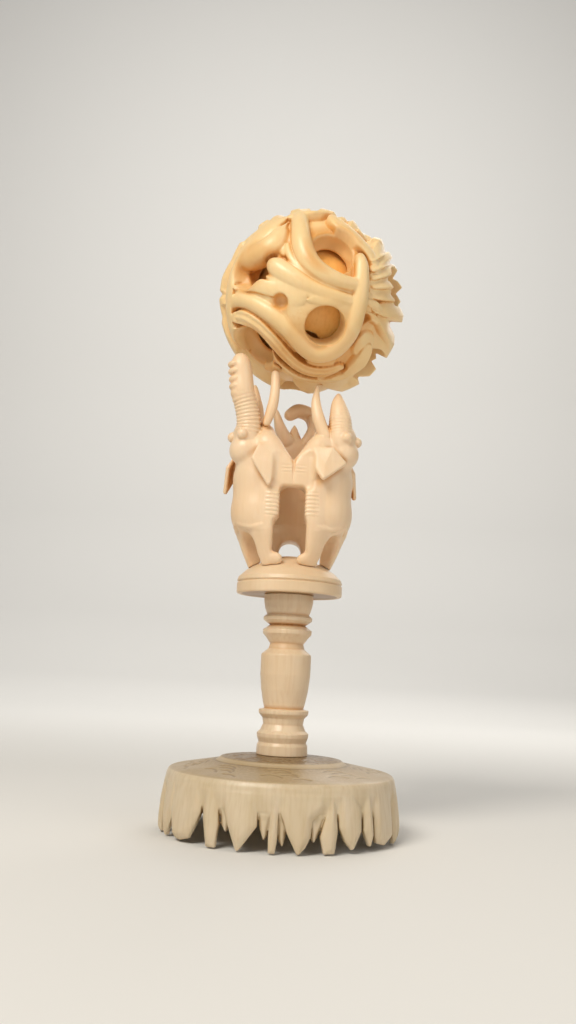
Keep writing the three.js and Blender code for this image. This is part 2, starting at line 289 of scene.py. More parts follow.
def keepLargest(thing):
    mesh = thing.data
    count = len(mesh.vertices)
    edges = np.empty(len(mesh.edges) * 2, np.int32)
    mesh.edges.foreach_get("vertices", edges)
    edges = edges.reshape(-1, 2)
    label = np.arange(count)
    while True:
        low = np.minimum(label[edges[:, 0]], label[edges[:, 1]])
        before = label.copy()
        np.minimum.at(label, edges[:, 0], low)
        np.minimum.at(label, edges[:, 1], low)
        label = label[label]
        if np.array_equal(before, label):
            break
    names, sizes = np.unique(label, return_counts=True)
    best = names[np.argmax(sizes)]
    if len(names) == 1:
        return
    keep = label == best
    faces = np.empty(len(mesh.loops), np.int32)
    mesh.loops.foreach_get("vertex_index", faces)
    faces = faces.reshape(-1, 4)
    faces = faces[keep[faces[:, 0]]]
    renumber = np.cumsum(keep) - 1
    fresh = makeMesh(thing.name, placeOf(mesh.vertices)[keep], renumber[faces])
    thing.data = fresh
    bpy.data.meshes.remove(mesh)


# painted shade: how far out from the surface free space is looked for to darken hollows and creases, and how
# much each reach counts
shadeReaches = ((0.6, 0.3), (1.4, 0.35), (3.0, 0.35))


def paintHollows(thing, volume):
    mesh = thing.data
    points = placeOf(mesh.vertices) / mm
    normals = placeOf(mesh.vertex_normals, "vector")
    hollow = np.zeros(len(points), np.float32)
    # painted shade: points with little free space just outside them, in hollows and creases, are darkened
    for reach, weight in shadeReaches:
        free = sampleField(volume, points + normals * reach)
        hollow += weight * np.clip(1 - free / reach, 0, 1)
    # the upper faces are painted darker
    hollow += volume.get("upwardDarkening", 0) * np.clip(normals[:, 2] * 2.5 - 1.5, 0, 1)
    # painted shade: warm amber patches, as listed with the ball
    for centre, spread, strength in volume.get("stains", []):
        hollow += strength * np.clip(1.5 - np.linalg.norm(points - centre, axis=1) / spread, 0, 0.5) * 2
    keepHollows(mesh, hollow)


def keepHollows(mesh, hollow):
    attribute = mesh.attributes.new("hollow", "FLOAT", "POINT")
    attribute.data.foreach_set("value", hollow.astype(np.float32))


def smooth(thing):
    thing.data.polygons.foreach_set("use_smooth", np.ones(len(thing.data.polygons), bool))


print("helpers ready")


# node trees: small helpers
def socketOf(tree, name):
    for item in tree.interface.items_tree:
        if item.item_type == "SOCKET" and item.in_out == "INPUT" and item.name == name:
            return item.identifier
    raise KeyError(name)


def startTree(name, inputs):
    tree = bpy.data.node_groups.new(name, "GeometryNodeTree")
    tree.interface.new_socket("Geometry", in_out="INPUT", socket_type="NodeSocketGeometry")
    for label, kind in inputs:
        tree.interface.new_socket(label, in_out="INPUT", socket_type=kind)
    tree.interface.new_socket("Geometry", in_out="OUTPUT", socket_type="NodeSocketGeometry")
    return tree


def node(tree, kind, links=None, **settings):
    made = tree.nodes.new(kind)
    for key, value in settings.items():
        setattr(made, key, value)
    for key, value in (links or {}).items():
        socket = made.inputs[key]
        if isinstance(value, bpy.types.NodeSocket):
            tree.links.new(value, socket)
        else:
            socket.default_value = value
    return made


def sums(tree, operation, a, b):
    return node(tree, "ShaderNodeMath", {0: a, 1: b}, operation=operation).outputs[0]


def finishTree(tree, geometry, material):
    real = node(tree, "GeometryNodeRealizeInstances", {"Geometry": geometry})
    painted = node(tree, "GeometryNodeSetMaterial", {"Geometry": real.outputs[0], "Material": material})
    node(tree, "NodeGroupOutput", {"Geometry": painted.outputs[0]})
    return tree


def tone(r, g, b):
    # from screen values 0..255 to the shader's linear colour
    out = [((c / 255 + 0.055) / 1.055) ** 2.4 if c > 10.3 else c / 255 / 12.92 for c in (r, g, b)]
    return (*out, 1.0)


# bone finish: pale crests, painted shade in the hollows as warmer, darker tones, faint upright streaks; each
# piece's look may change these
plainLook = {
    "mottleScale": 110, "streakScale": 1500, "streaks": 0.25, "hollowFrom": 0.25, "hollowTo": 0.75,
    "dirtAmount": 0.7, "smoothest": 0.3, "roughest": 0.45, "grainScale": 3200, "bump": 0.12, "glow": 0.12,
}
# each look's hollow and deep tones are painted shade
looks = {
    "outer_ball": {
        "light": (246, 216, 164), "body": (240, 203, 144), "hollow": (222, 158, 82),
        "deep": (176, 110, 44), "streak": (238, 198, 136), "dirt": (160, 100, 50),
        "hollowFrom": 0.2, "hollowTo": 0.62,
    },
    # painted light and shade: the inner ball's tones, warmer than the outer ball's, stand in for the dim
    # amber light that reaches it through the shell
    "inner_ball": {
        "light": (255, 206, 122), "body": (255, 188, 102), "hollow": (206, 132, 62),
        "deep": (130, 78, 32), "streak": (240, 176, 90), "dirt": (110, 70, 36), "streaks": 0.5,
    },
    "elephants": {
        "light": (242, 214, 180), "body": (236, 203, 163), "hollow": (222, 172, 116),
        "deep": (180, 124, 72), "streak": (230, 192, 146), "dirt": (190, 146, 96), "streaks": 0.2,
    },
    "platform": {
        "light": (234, 208, 174), "body": (224, 194, 156), "hollow": (204, 164, 114),
        "deep": (160, 120, 72), "streak": (218, 186, 144), "dirt": (170, 130, 86),
    },
    "column": {
        "light": (232, 208, 176), "body": (220, 192, 156), "hollow": (208, 160, 110),
        "deep": (176, 124, 72), "streak": (212, 178, 136), "dirt": (170, 130, 86), "streaks": 0.45,
    },
    "base": {
        "light": (218, 200, 172), "body": (206, 186, 152), "hollow": (164, 138, 98),
        "deep": (120, 92, 56), "streak": (196, 172, 134), "dirt": (134, 110, 76), "streaks": 0.5,
        "dirtAmount": 0.45, "mottleScale": 170,
    },
}


def ivoryMaterial(name, look):
    look = {**plainLook, **look}
    material = bpy.data.materials.new(name)
    material.use_nodes = True
    tree = material.node_tree
    tree.nodes.clear()
    output = tree.nodes.new("ShaderNodeOutputMaterial")
    shader = tree.nodes.new("ShaderNodeBsdfPrincipled")
    tree.links.new(shader.outputs[0], output.inputs["Surface"])
    where = tree.nodes.new("ShaderNodeTexCoord").outputs["Object"]

    def noise(scale, stretch, detail):
        mapping = node(tree, "ShaderNodeMapping", {"Vector": where, "Scale": stretch})
        inputs = {"Vector": mapping.outputs[0], "Scale": scale, "Detail": detail}
        return node(tree, "ShaderNodeTexNoise", inputs).outputs["Fac"]

    def tint(factor, under, over):
        # indices, because the three kinds of Mix share their socket names
        ends = {0: factor, 6: under, 7: tone(*look[over])}
        return node(tree, "ShaderNodeMix", ends, data_type="RGBA").outputs[2]

    def spread(value, low, high, top=1.0, bottom=0.0):
        ends = {"Value": value, "From Min": low, "From Max": high, "To Min": bottom, "To Max": top}
        return node(tree, "ShaderNodeMapRange", ends).outputs[0]

    hollow = node(tree, "ShaderNodeAttribute", attribute_name="hollow").outputs["Fac"]
    lines = node(tree, "ShaderNodeAttribute", attribute_name="engraved").outputs["Fac"]
    mottle = noise(look["mottleScale"], (1, 1, 0.55), 3)
    streaks = noise(look["streakScale"], (1, 1, 0.05), 4)
    grain = noise(look["grainScale"], (1, 1, 0.2), 3)
    colour = tint(spread(mottle, 0.35, 0.68), tone(*look["light"]), "body")
    # painted shade: the hollow and deep tones follow the hollow attribute, which holds the shade painted into
    # hollows, grooves and amber patches, and the darker upper faces of the base
    colour = tint(spread(hollow, look["hollowFrom"], look["hollowTo"]), colour, "hollow")
    colour = tint(spread(hollow, 0.7, 1.0), colour, "deep")
    colour = tint(spread(streaks, 0.45, 0.75, look["streaks"]), colour, "streak")
    colour = tint(spread(lines, 0.1, 0.9, look["dirtAmount"]), colour, "dirt")
    tree.links.new(colour, shader.inputs["Base Color"])
    rough = spread(mottle, 0.3, 0.7, look["roughest"], look["smoothest"])
    tree.links.new(rough, shader.inputs["Roughness"])
    relief = node(tree, "ShaderNodeMath", {0: streaks, 1: grain}, operation="ADD")
    heights = {"Height": relief.outputs[0], "Strength": look["bump"], "Distance": 0.2 * mm}
    bump = node(tree, "ShaderNodeBump", heights)
    tree.links.new(bump.outputs[0], shader.inputs["Normal"])
    shader.inputs["Subsurface Weight"].default_value = look["glow"]
    shader.inputs["Subsurface Radius"].default_value = (1.0, 0.55, 0.3)
    shader.inputs["Subsurface Scale"].default_value = 1.5 * mm
    shader.inputs["Specular IOR Level"].default_value = 0.45
    return material


ivory = {slot: ivoryMaterial(slot + "Finish", look) for slot, look in looks.items()}
for name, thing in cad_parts.items():
    if thing.data.materials:
        thing.data.materials[0] = ivory[name]
    else:
        thing.data.materials.append(ivory[name])
print("finishes ready")


# balls: fourteen holes along the faces and corners of a cube
def towards(azimuth, elevation):
    a = np.radians(azimuth)
    e = np.radians(elevation)
    return np.stack([np.sin(a) * np.cos(e), -np.cos(a) * np.cos(e), np.sin(e)], axis=-1)


def unit(v):
    return v / np.linalg.norm(v, axis=-1, keepdims=True)


faceUp = towards(13.9, 17.5)
faceLeft = towards(-59.7, -37.6)
faceRight = unit(np.cross(faceUp, faceLeft))
faceLeft = unit(np.cross(faceRight, faceUp))
# the four holes that face the viewer, each with one opposite
seenHoles = [(9.6, -34.6), (12.5, 11.5), (-39, 6), (-58.5, -42.0)]


def cubePattern():
    pattern = []
    for axis in (faceUp, faceLeft, faceRight):
        pattern += [axis, -axis]
    for i, j, k in itertools.product((1, -1), repeat=3):
        pattern.append(unit(i * faceUp + j * faceLeft + k * faceRight))
    return pattern


def holeDirections():
    seen = []
    for azimuth, elevation in seenHoles:
        seen += [towards(azimuth, elevation), -towards(azimuth, elevation)]
    apart = math.cos(math.radians(25))
    others = [hole for hole in cubePattern() if max(hole @ other for other in seen) < apart]
    return seen + others


ball = {
    "ground": 18.6,
    "step": 0.2,
    "mapStep": 0.35,
    "boreInside": 4.1,
    "boreOutside": 4.3,
    "boreFrom": 12.5,
    "boreTo": 22,
    "boreEdge": 0.25,
    "steepness": 0.8,
    "mostTriangles": 196000,
}


def band(path, width, crest, rise=0.4, kind="smooth", once=False):
    return {"path": path, "width": width, "crest": crest, "rise": rise, "kind": kind, "once": once}


# bands of carving: way points as (azimuth, elevation), widths and crests in mm, one number where they stay
# the same; rise is how far the edges lie below the crest; once keeps a band off the back
bands = [
    band([(-30, 44), (-33, 31), (-34, 21), (-34, 14)], [5, 6, 6, 5], [20.6, 20.4, 20.2, 20.0]),
    band([(-32, 46), (-42, 31), (-51, 16), (-59, 2), (-65, -12), (-70, -26), (-78, -42)],
         [6, 6.5, 6, 5, 5, 5, 4.5], [21, 21, 21, 20.9, 20.8, 20.8, 20.6], rise=0.5),
    band([(-78, 22), (-85, 2), (-89, -18), (-92, -36)], [3, 3.2, 3.2, 3], [21, 21.1, 21.1, 20.8], rise=0.5),
    band([(-30, -2), (-21, -8), (-10, -12.5), (2, -16), (14, -18.5), (27, -19.5)], [3, 4.5, 4.5, 4, 3.5, 3],
         [19.9, 19.9, 19.9, 19.9, 19.9, 19.8]),
    band([(-57, -4), (-48, -6), (-38, -8), (-28, -11.5), (-19, -14.5), (-8, -17), (4, -19.5), (22, -20.5)],
         [2.2, 2.6, 3.0, 3.2, 2.8, 2.2, 2.0, 1.8], [20.6, 20.7, 20.7, 20.7, 20.6, 20.5, 20.5, 20.4]),
    band([(-14, -21), (-10, -29), (-8, -37), (-4, -47)], [4.4, 5.2, 5.2, 4.0], [20.7, 20.4, 20.3, 20.1]),
    band([(26, -19), (29, -31), (22, -46), (8, -51)], 5.0, [20.2, 20.2, 20.0, 19.8]),
    band([(-4, -22), (8, -22), (22, -20)], 4.0, [20.4, 20.3, 20.3]),
    band([(-42, -46), (-39, -56), (-34, -65), (-20, -72), (0, -75), (25, -75), (55, -70), (78, -60)],
         [2.6, 3, 3, 3, 3.2, 3.2, 3.2, 3], 20.4, kind="lined"),
    band([(-64, -21), (-52, -25), (-42, -32), (-36, -39), (-31, -46), (-26, -54), (-19, -61), (-8, -66),
          (10, -68), (30, -66), (46, -60)], [3.4, 3.6, 3.6, 3.4, 3.2, 3.0, 2.8, 2.8, 3, 3, 3],
         [20.8, 20.8, 20.8, 20.8, 20.7, 20.6, 20.5, 20.4, 20.4, 20.4, 20.4], rise=0.5, kind="lined"),
    band([(-72, -58), (-60, -61), (-50, -66)], [3.6, 4.2, 3.6], [20.4, 20.4, 20.2], rise=0.5),
    band([(14, 48), (20, 36), (31, 26), (40, 16), (45, 5), (49, -4)], [4, 4, 3.6, 3.2, 2.6, 2.2],
         [20.9, 20.6, 20.4, 20.2, 20.0, 19.8], rise=0.6),
    band([(34, -15), (44, -15.5), (56, -18)], [2.0, 1.9, 1.6], [20.4, 20.4, 20.3], rise=0.3, once=True),
    band([(36, -22.5), (44, -22.5), (55, -24)], [1.8, 1.7, 1.5], [20.3, 20.3, 20.2], rise=0.3, once=True),
    band([(-55, -17.5), (-46, -20.5), (-38, -26), (-31, -35), (-23, -44.5), (-12, -53)], 2.4,
         [19.9, 19.9, 19.9, 19.8, 19.6, 19.5], rise=0.1, kind="floor"),
]
# leaves that overlap along the right edge, each high on its lower side: the turn clockwise from the top and
# the tilt away from the viewer at root and tip, in degrees, then widths there, crest and rise in mm
leaves = [
    ((51, 52), (46, 94), (2.4, 3.6), 20.7, 1.0),
    ((58, 47), (56.5, 94), (2.0, 2.6), 20.6, 0.9),
    ((64, 44), (64, 94), (2.0, 2.9), 20.5, 1.0),
    ((71, 43), (74.5, 94), (2.2, 3.2), 20.6, 1.1),
    ((80, 42), (84, 94), (2.2, 2.6), 20.4, 0.8),
    ((91, 41), (94, 94), (2.6, 4.4), 20.7, 1.2),
    ((98, 48), (113, 94), (4.0, 8.0), 20.8, 1.3),
    ((170, 52), (137, 94), (3.2, 5.6), 20.6, 1.2),
    ((190, 56), (152, 94), (3.2, 5.4), 20.4, 1.1),
    ((152, 58), (124, 50), (3.0, 3.6), 20.9, 0.5),
]
# round strands that lie over the rest: way points, radii and how far their middle is from the ball's centre
strands = {
    "hood": {"path": [(-56, 14.5), (-47, 14.5), (-39, 15.5), (-32, 18), (-28, 24), (-27.5, 32)],
             "radii": [1.2, 1.7, 1.9, 2.0, 1.7, 1.2], "middle": 18.45, "blend": 1.2},
    "nose": {"path": [(-27.5, 4.5), (-23.5, 1), (-18, -3.5), (-11, -8), (-4, -11.5), (6, -14.5), (16, -16),
                      (26, -16.5)],
             "radii": [1.3, 2.0, 2.1, 2.0, 1.7, 1.4, 1.2, 1.0], "middle": 18.9, "blend": 0.5},
    "rope": {"path": [(-16.5, 62), (-15.5, 46), (-12, 31), (-9.2, 18), (-5.6, 7.5), (-0.5, 0.6), (6, -3.6),
                      (13, -6), (20, -7), (28, -6.6)],
             "radii": [1.8, 1.8, 1.9, 2.1, 2.15, 2.05, 1.9, 1.7, 1.5, 1.4], "middle": 18.95},
    "strap": {"path": [(30.5, 13), (31, 5), (31, -8), (31, -20), (30.8, -31), (29, -40), (23.5, -48.5),
                       (14.5, -53), (5, -54), (-4, -51), (-11.5, -45), (-18, -38), (-24.5, -31.5),
                       (-32, -25.2), (-41, -19), (-51, -14), (-64, -10.5)],
              "radii": [1.0, 1.5, 1.7, 1.85, 2.0, 2.0, 2.0, 1.9, 1.8, 1.8, 1.8, 1.8, 1.8, 1.8, 1.7, 1.6, 1.5],
              "middle": 19.15},
    "foldUpper": {"path": [(-19, 18), (-16.5, 10), (-12.5, 3), (-6, -3), (3, -7.8), (12, -10.6), (25, -11.5)],
                  "radii": [0.5, 0.8, 0.9, 1.0, 0.9, 0.8, 0.5], "middle": 18.9},
    "foldMiddle": {"path": [(-27, 3), (-20, -5.5), (-11, -10.5), (0, -14.5), (12, -17.5), (26, -18.5)],
                   "radii": [0.5, 0.85, 0.85, 0.8, 0.7, 0.5], "middle": 19.6},
    "foldLower": {"path": [(-30, -4), (-22, -9), (-12, -13.5), (0, -17.8), (12, -20.2)],
                  "radii": [0.4, 0.8, 0.8, 0.7, 0.4],
                  "middle": 19.6},
}
# pits between the bands: azimuth, elevation, radius and how deep they reach, in mm
pits = [(-21.5, -20.2, 2.1, 19.2), (39, -26.5, 1.8, 18.4)]
# painted shade: warm amber patches in the pits, hole mouths and low front, standing in for dim light glowing
# through thin bone: azimuth, elevation, distance from the ball's centre, spread in mm and strength
stains = [(-21.5, -20.2, 19.0, 2.1, 0.3), (39, -26.5, 18.8, 2.6, 0.2), (-56, -44, 17.5, 5.6, 0.3),
          (12, 18, 18.2, 5.4, 0.35), (-41, 6, 18.2, 5.0, 0.35), (8, -50, 20.0, 7.5, 0.3)]
# wide mouths cut at an angle round some holes: azimuth, elevation, start, inner and outer radius, softness
mouths = [(12, 16.5, 17.4, 4.5, 6.4, 0.6), (-46, 3, 20.8, 4.0, 5.0, 1.3), (-62, -44, 17.8, 4.6, 5.8, 1.2)]
# smooth skin carried over gaps between the bands: azimuth, elevation, spread in degrees, crest in mm
fillers = [(9.6, -34.6, 20, 20.2), (-14, -24, 9, 20.0), (-40, -11, 8, 20.0), (-52, -9, 7, 20.2),
           (-27, -14, 8, 20.0), (38, -18, 9, 19.7), (44, -2, 8, 19.6), (52, -40, 8, 19.6), (14, -58, 9, 19.6),
           (-21, 48, 6, 19.5), (-20.5, 37, 5, 19.4), (-19.5, 26, 5, 19.3), (-19, 15, 5, 19.3),
           (-26, 57, 7, 19.6), (-11, -17.5, 6, 20.6)]
# outline of the ball seen by the viewer: angle clockwise from the top, radius of each leaf's tip and notch
leafEdges = [(-180, 20.5), (-125, 20.9), (-104, 21.0), (-100, 20.6), (-94, 20.9), (-89, 21.1), (-86, 20.4),
             (-84, 21.1), (-76, 21.2), (-64, 20.65), (-58, 20.9), (-52.5, 21.1), (-50, 20.6), (-42, 20.4),
             (-39.5, 20.2), (-37, 21.0), (-31, 21.0), (-28, 20.1), (-24, 20.2), (-18, 19.3), (-15.5, 20.9),
             (-10, 21.0), (-8, 19.8), (-4, 19.0), (0, 20.1), (3, 20.9), (11, 20.7), (14, 19.8), (17, 19.1),
             (20.6, 18.4), (22, 19.8), (24, 20.4), (28, 19.9), (34, 19.0), (39.4, 18.3), (41, 20.2),
             (45, 21.0), (49, 20.6), (52.6, 19.9), (54, 20.7), (58, 20.7), (60, 19.5), (63, 20.4),
             (66.5, 20.6), (70.4, 19.0), (73, 20.0), (77.4, 20.7), (80.6, 19.1), (86, 20.1), (88.2, 19.6),
             (91, 20.3), (94.5, 21.0), (98.8, 20.9), (99.8, 18.2), (103, 18.4), (108, 20.1), (113, 20.9),
             (122.8, 21.0), (124.2, 18.2), (127, 19.2), (130.6, 18.7), (132, 20.8), (138, 21.0),
             (144.4, 19.5), (146, 21.1), (158, 21.0), (166, 19.5), (180, 20.5)]
viewerSide = unit(np.array([-3.18, -201.1, -82.4]))
edgeRight = unit(np.cross([0.0, 0.0, 1.0], viewerSide))
edgeUp = np.cross(viewerSide, edgeRight)
# half a turn that lays the seen side's carving on the back
toBack = np.array(Matrix.Rotation(math.pi, 3, Vector(unit(faceUp - faceRight))))


def reliefMap():
    step = ball["mapStep"]
    elevations = np.arange(-90, 90 + step, step)
    azimuths = np.arange(-180, 180 + step, step)
    az, el = np.meshgrid(azimuths, elevations, indexing="xy")
    cells = towards(az, el).reshape(-1, 3).astype(np.float32)
    height = np.full(len(cells), ball["ground"], np.float32)
    laid = bands + [leafBand(*leaf) for leaf in leaves]
    for copy in (True, False):
        for row in laid:
            if copy and row["once"]:
                continue
            path = smoothPath(towards(*np.array(row["path"], float).T), 14)
            if copy:
                path = path @ toBack.T
            height = layBand(cells, height, unit(path), row)
    for azimuth, elevation, spread, crest in fillers:
        for sign in (1, -1):
            middle = towards(azimuth, elevation) * sign
            away = np.degrees(np.arccos(np.clip(cells @ middle, -1, 1)))
            skin = crest - np.maximum(away - spread, 0) * 0.3 - (away / spread) ** 2 * 0.25
            height = np.maximum(height, skin)
    height = trimEdge(cells, height)
    return {"height": height.reshape(az.shape), "step": step}


def fromViewer(turn, tilt):
    # direction given by its turn round the viewer's line of sight and its tilt away from it
    t = np.radians(turn)
    away = np.radians(tilt)
    return viewerSide * np.cos(away) + (edgeUp * np.cos(t) + edgeRight * np.sin(t)) * np.sin(away)


def leafBand(root, tip, width, crest, rise):
    path = []
    for share in (0, 0.33, 0.67, 1):
        turn, tilt = [a + (b - a) * share for a, b in zip(root, tip)]
        way = fromViewer(turn, tilt)
        path.append((math.degrees(math.atan2(way[0], -way[1])), math.degrees(math.asin(way[2]))))
    return band(path, width, crest, rise, "leaf")


def spreadAlong(values, count):
    values = np.atleast_1d(values)
    return np.interp(np.linspace(0, len(values) - 1, count), range(len(values)), values)


# how a band's sides fall to the ground or to a moat beside it, in mm
bandShape = {
    "radius": 20.5, "wallSlope": 4.0, "moatDepth": 1.6, "moatSlope": 1.6, "lowest": 0.7, "endLength": 4.0,
    "endDrop": 0.4, "lineDepth": 0.14, "linePitch": 1.4, "cellsAtOnce": 60000,
}


def layBand(cells, height, path, row):
    radius, slope = bandShape["radius"], bandShape["wallSlope"]
    length = np.r_[0, np.cumsum(np.linalg.norm(np.diff(path, axis=0), axis=1))] * radius
    count = max(8, int(length[-1] / 0.4))
    where = np.linspace(0, length[-1], count)
    path = unit(np.stack([np.interp(where, length, path[:, i]) for i in range(3)], axis=1)).astype(np.float32)
    halves = spreadAlong(row["width"], count) / 2
    crests = spreadAlong(row["crest"], count)
    tangent = unit(np.gradient(path, axis=0)).astype(np.float32)
    side = np.cross(tangent, path)
    near = np.nonzero((cells @ unit(path.mean(axis=0))) > -0.3)[0]
    for chunk in np.array_split(near, max(1, len(near) // bandShape["cellsAtOnce"])):
        dots = cells[chunk] @ path.T
        best = dots.argmax(axis=1)
        close = dots[np.arange(len(chunk)), best] > math.cos((max(halves) + 2.5) / radius)
        chunk = chunk[close]
        best = best[close]
        if not len(chunk):
            continue
        across = (cells[chunk] * side[best]).sum(axis=1) * radius
        along = where[best] + (cells[chunk] * tangent[best]).sum(axis=1) * radius
        beyond = np.maximum(np.maximum(-along, along - length[-1]), 0)
        ends = np.clip(np.minimum(along, length[-1] - along) / bandShape["endLength"], 0, 1)
        wide = halves[best] * (0.5 + 0.5 * np.sqrt(ends))
        offset = np.hypot(across, beyond)
        u = offset / wide
        top = crests[best] - bandShape["endDrop"] * (1 - ends)
        if row["kind"] == "lined":
            top += bandShape["lineDepth"] * np.cos(across * 2 * math.pi / bandShape["linePitch"]) - 0.1
        if row["kind"] in ("leaf", "floor"):
            # a leaf slopes from side to side, a floor only fills in
            lean = row["rise"] * (0.5 - 0.5 * np.clip(across / wide, -1, 1)) if row["kind"] == "leaf" else 0
            height[chunk] = np.maximum(height[chunk], top - lean - np.maximum(offset - wide, 0) * slope)
            continue
        profile = top - row["rise"] * (1 - np.sqrt(np.clip(1 - u**2, 0, 1)))
        wall = top - row["rise"] - (offset - wide) * slope
        raised = np.where(u < 1, profile, wall)
        moat = top - row["rise"] - bandShape["moatDepth"] + (offset - wide) * bandShape["moatSlope"]
        moat = np.maximum(moat, ball["ground"] - bandShape["lowest"])
        lowered = np.where((u >= 1) & (beyond < 0.4), np.minimum(height[chunk], moat), height[chunk])
        height[chunk] = np.maximum(lowered, raised)
    return height


# where the outline's leaves begin and end, as tilt away from the viewer; they begin earlier on the right
outlineTilt = {"start": 72, "full": 80, "end": 108, "fade": 14, "earlier": 24, "rightTurn": 82,
               "rightSpread": 70}


def trimEdge(cells, height):
    # leaves and notches that make the ball's outline
    edge = outlineTilt
    tilt = np.degrees(np.arccos(np.clip(cells @ viewerSide, -1, 1)))
    turn = np.degrees(np.arctan2(cells @ edgeRight, cells @ edgeUp))
    wanted = np.interp(turn, *zip(*leafEdges))
    onRight = np.clip(1 - np.abs(turn - edge["rightTurn"]) / edge["rightSpread"], 0, 1) ** 0.5
    start = edge["start"] - edge["earlier"] * onRight
    rising = np.clip((tilt - start) / (edge["full"] - start), 0, 1)
    falling = np.clip((edge["end"] - tilt) / edge["fade"], 0, 1)
    share = (rising * rising * (3 - 2 * rising)) * falling
    return height + (wanted - height) * share


def sampleMap(relief, directions):
    az = np.degrees(np.arctan2(directions[:, 0], -directions[:, 1]))
    el = np.degrees(np.arcsin(np.clip(directions[:, 2], -1, 1)))
    x = (az + 180) / relief["step"]
    y = (el + 90) / relief["step"]
    grid = relief["height"]
    i = np.clip(x.astype(int), 0, grid.shape[1] - 2)
    j = np.clip(y.astype(int), 0, grid.shape[0] - 2)
    fx = (x - i).astype(np.float32)
    fy = (y - j).astype(np.float32)
    low = grid[j, i] * (1 - fx) + grid[j, i + 1] * fx
    high = grid[j + 1, i] * (1 - fx) + grid[j + 1, i + 1] * fx
    return low * (1 - fy) + high * fy


def buildOuterBall():
    relief = reliefMap()
    print("relief map ready")
    reach = 21.9
    volume = newVolume([-reach] * 3, [reach] * 3, ball["step"])
    field = volume["field"]
    axis = volume["low"][0] + volume["step"] * np.arange(field.shape[0], dtype=np.float32)
    for i, x in enumerate(axis):
        y, z = np.meshgrid(axis, axis, indexing="ij")
        radius = np.sqrt(x * x + y * y + z * z)
        near = (radius > shellInside - 0.8) & (radius < reach - 0.1)
        directions = np.stack([np.full(near.sum(), x), y[near], z[near]], axis=1) / radius[near][:, None]
        layer = np.where(radius < 14, shellInside - radius, radius - 17.0).astype(np.float32)
        outer = (radius[near] - sampleMap(relief, directions)) * ball["steepness"]
        layer[near] = np.maximum(outer, shellInside - radius[near])
        field[i] = layer
    for azimuth, elevation, start, inner, outer, softness in mouths:
        for sign in (1, -1):
            axisOut = towards(azimuth, elevation) * sign
            addBar(volume, axisOut * start, axisOut * ball["boreTo"], inner, outer + 0.6, softness, cut=True)
    for azimuth, elevation, size, reaches in pits:
        axisOut = towards(azimuth, elevation)
        start, end = axisOut * (reaches + size * 0.5), axisOut * 22.5
        addBar(volume, start, end, size * 0.8, size * 1.2, 0.3, cut=True)
    # strands cross the mouths of the seen holes, apart from the lowest one's
    crossed = [towards(*seen) for seen in seenHoles[1:]]
    for hole in crossed:
        cutHole(volume, hole)
    for strand in strands.values():
        path = towards(*np.array(strand["path"], float).T) * strand["middle"]
        for way in (path @ toBack.T, path):
            addPath(volume, way, strand["radii"], strand.get("blend", 0.35), 8)
    for hole in holeDirections():
        if max(hole @ other for other in crossed) < 0.99:
            cutHole(volume, hole)
    addBlob(volume, (0, 0, 0), [shellInside] * 3, blend=0, cut=True)
    volume["low"] = volume["low"] + ballCentre
    # the painted amber shade patches, placed round the ball's centre
    volume["stains"] = [(towards(a, e) * away + ballCentre, *rest) for a, e, away, *rest in stains]
    print("ball carved")
    return volume


def cutHole(volume, hole):
    start, end = hole * ball["boreFrom"], hole * ball["boreTo"]
    addBar(volume, start, end, ball["boreInside"], ball["boreOutside"], ball["boreEdge"], cut=True)


outerBall = meshFromVolume("outerBall", buildOuterBall(), ball["mostTriangles"], ivory["outer_ball"])
ready(outerBall, "outer_ball")


# the plain ball that lies loose inside, turned as it has come to rest
plainBall = {
    "radius": 13.9, "inside": 11.4, "drop": 0.35, "boreInside": 2.2, "boreOutside": 2.5, "boreEdge": 0.2,
    "turn": 63.0, "turnRound": (-92.9, 45.0), "step": 0.25, "mostTriangles": 60000,
}


def buildInnerBall():
    reach = 14.8
    volume = newVolume([-reach] * 3, [reach] * 3, plainBall["step"])
    addBlob(volume, (0, 0, 0), [plainBall["radius"]] * 3, blend=0)
    addBlob(volume, (0, 0, 0), [plainBall["inside"]] * 3, blend=0, cut=True)
    turn = np.array(Matrix.Rotation(math.radians(plainBall["turn"]), 3,
                                    Vector(towards(*plainBall["turnRound"]))))
    for hole in cubePattern():
        start, end = turn @ hole * 9, turn @ hole * 15.5
        addBar(volume, start, end, plainBall["boreInside"], plainBall["boreOutside"], plainBall["boreEdge"],
               cut=True)
    volume["low"] = volume["low"] + ballCentre - [0, 0, plainBall["drop"]]
    return volume


innerBall = meshFromVolume("innerBall", buildInnerBall(), plainBall["mostTriangles"], ivory["inner_ball"])
ready(innerBall, "inner_ball")


# platform: its profile as (radius, height), which the elephants stand on
platform = {
    "profile": [(0, 49.1), (9.0, 49.1), (10.9, 48.9), (11.25, 49.0), (11.35, 49.3), (11.35, 51.15),
                (11.0, 51.4), (11.35, 51.7), (11.1, 52.5), (9.6, 53.9), (8.2, 54.8), (5.0, 56.4), (2.4, 57.2),
                (0, 57.2)],
    "segments": 160,
    "rings": 220,
}


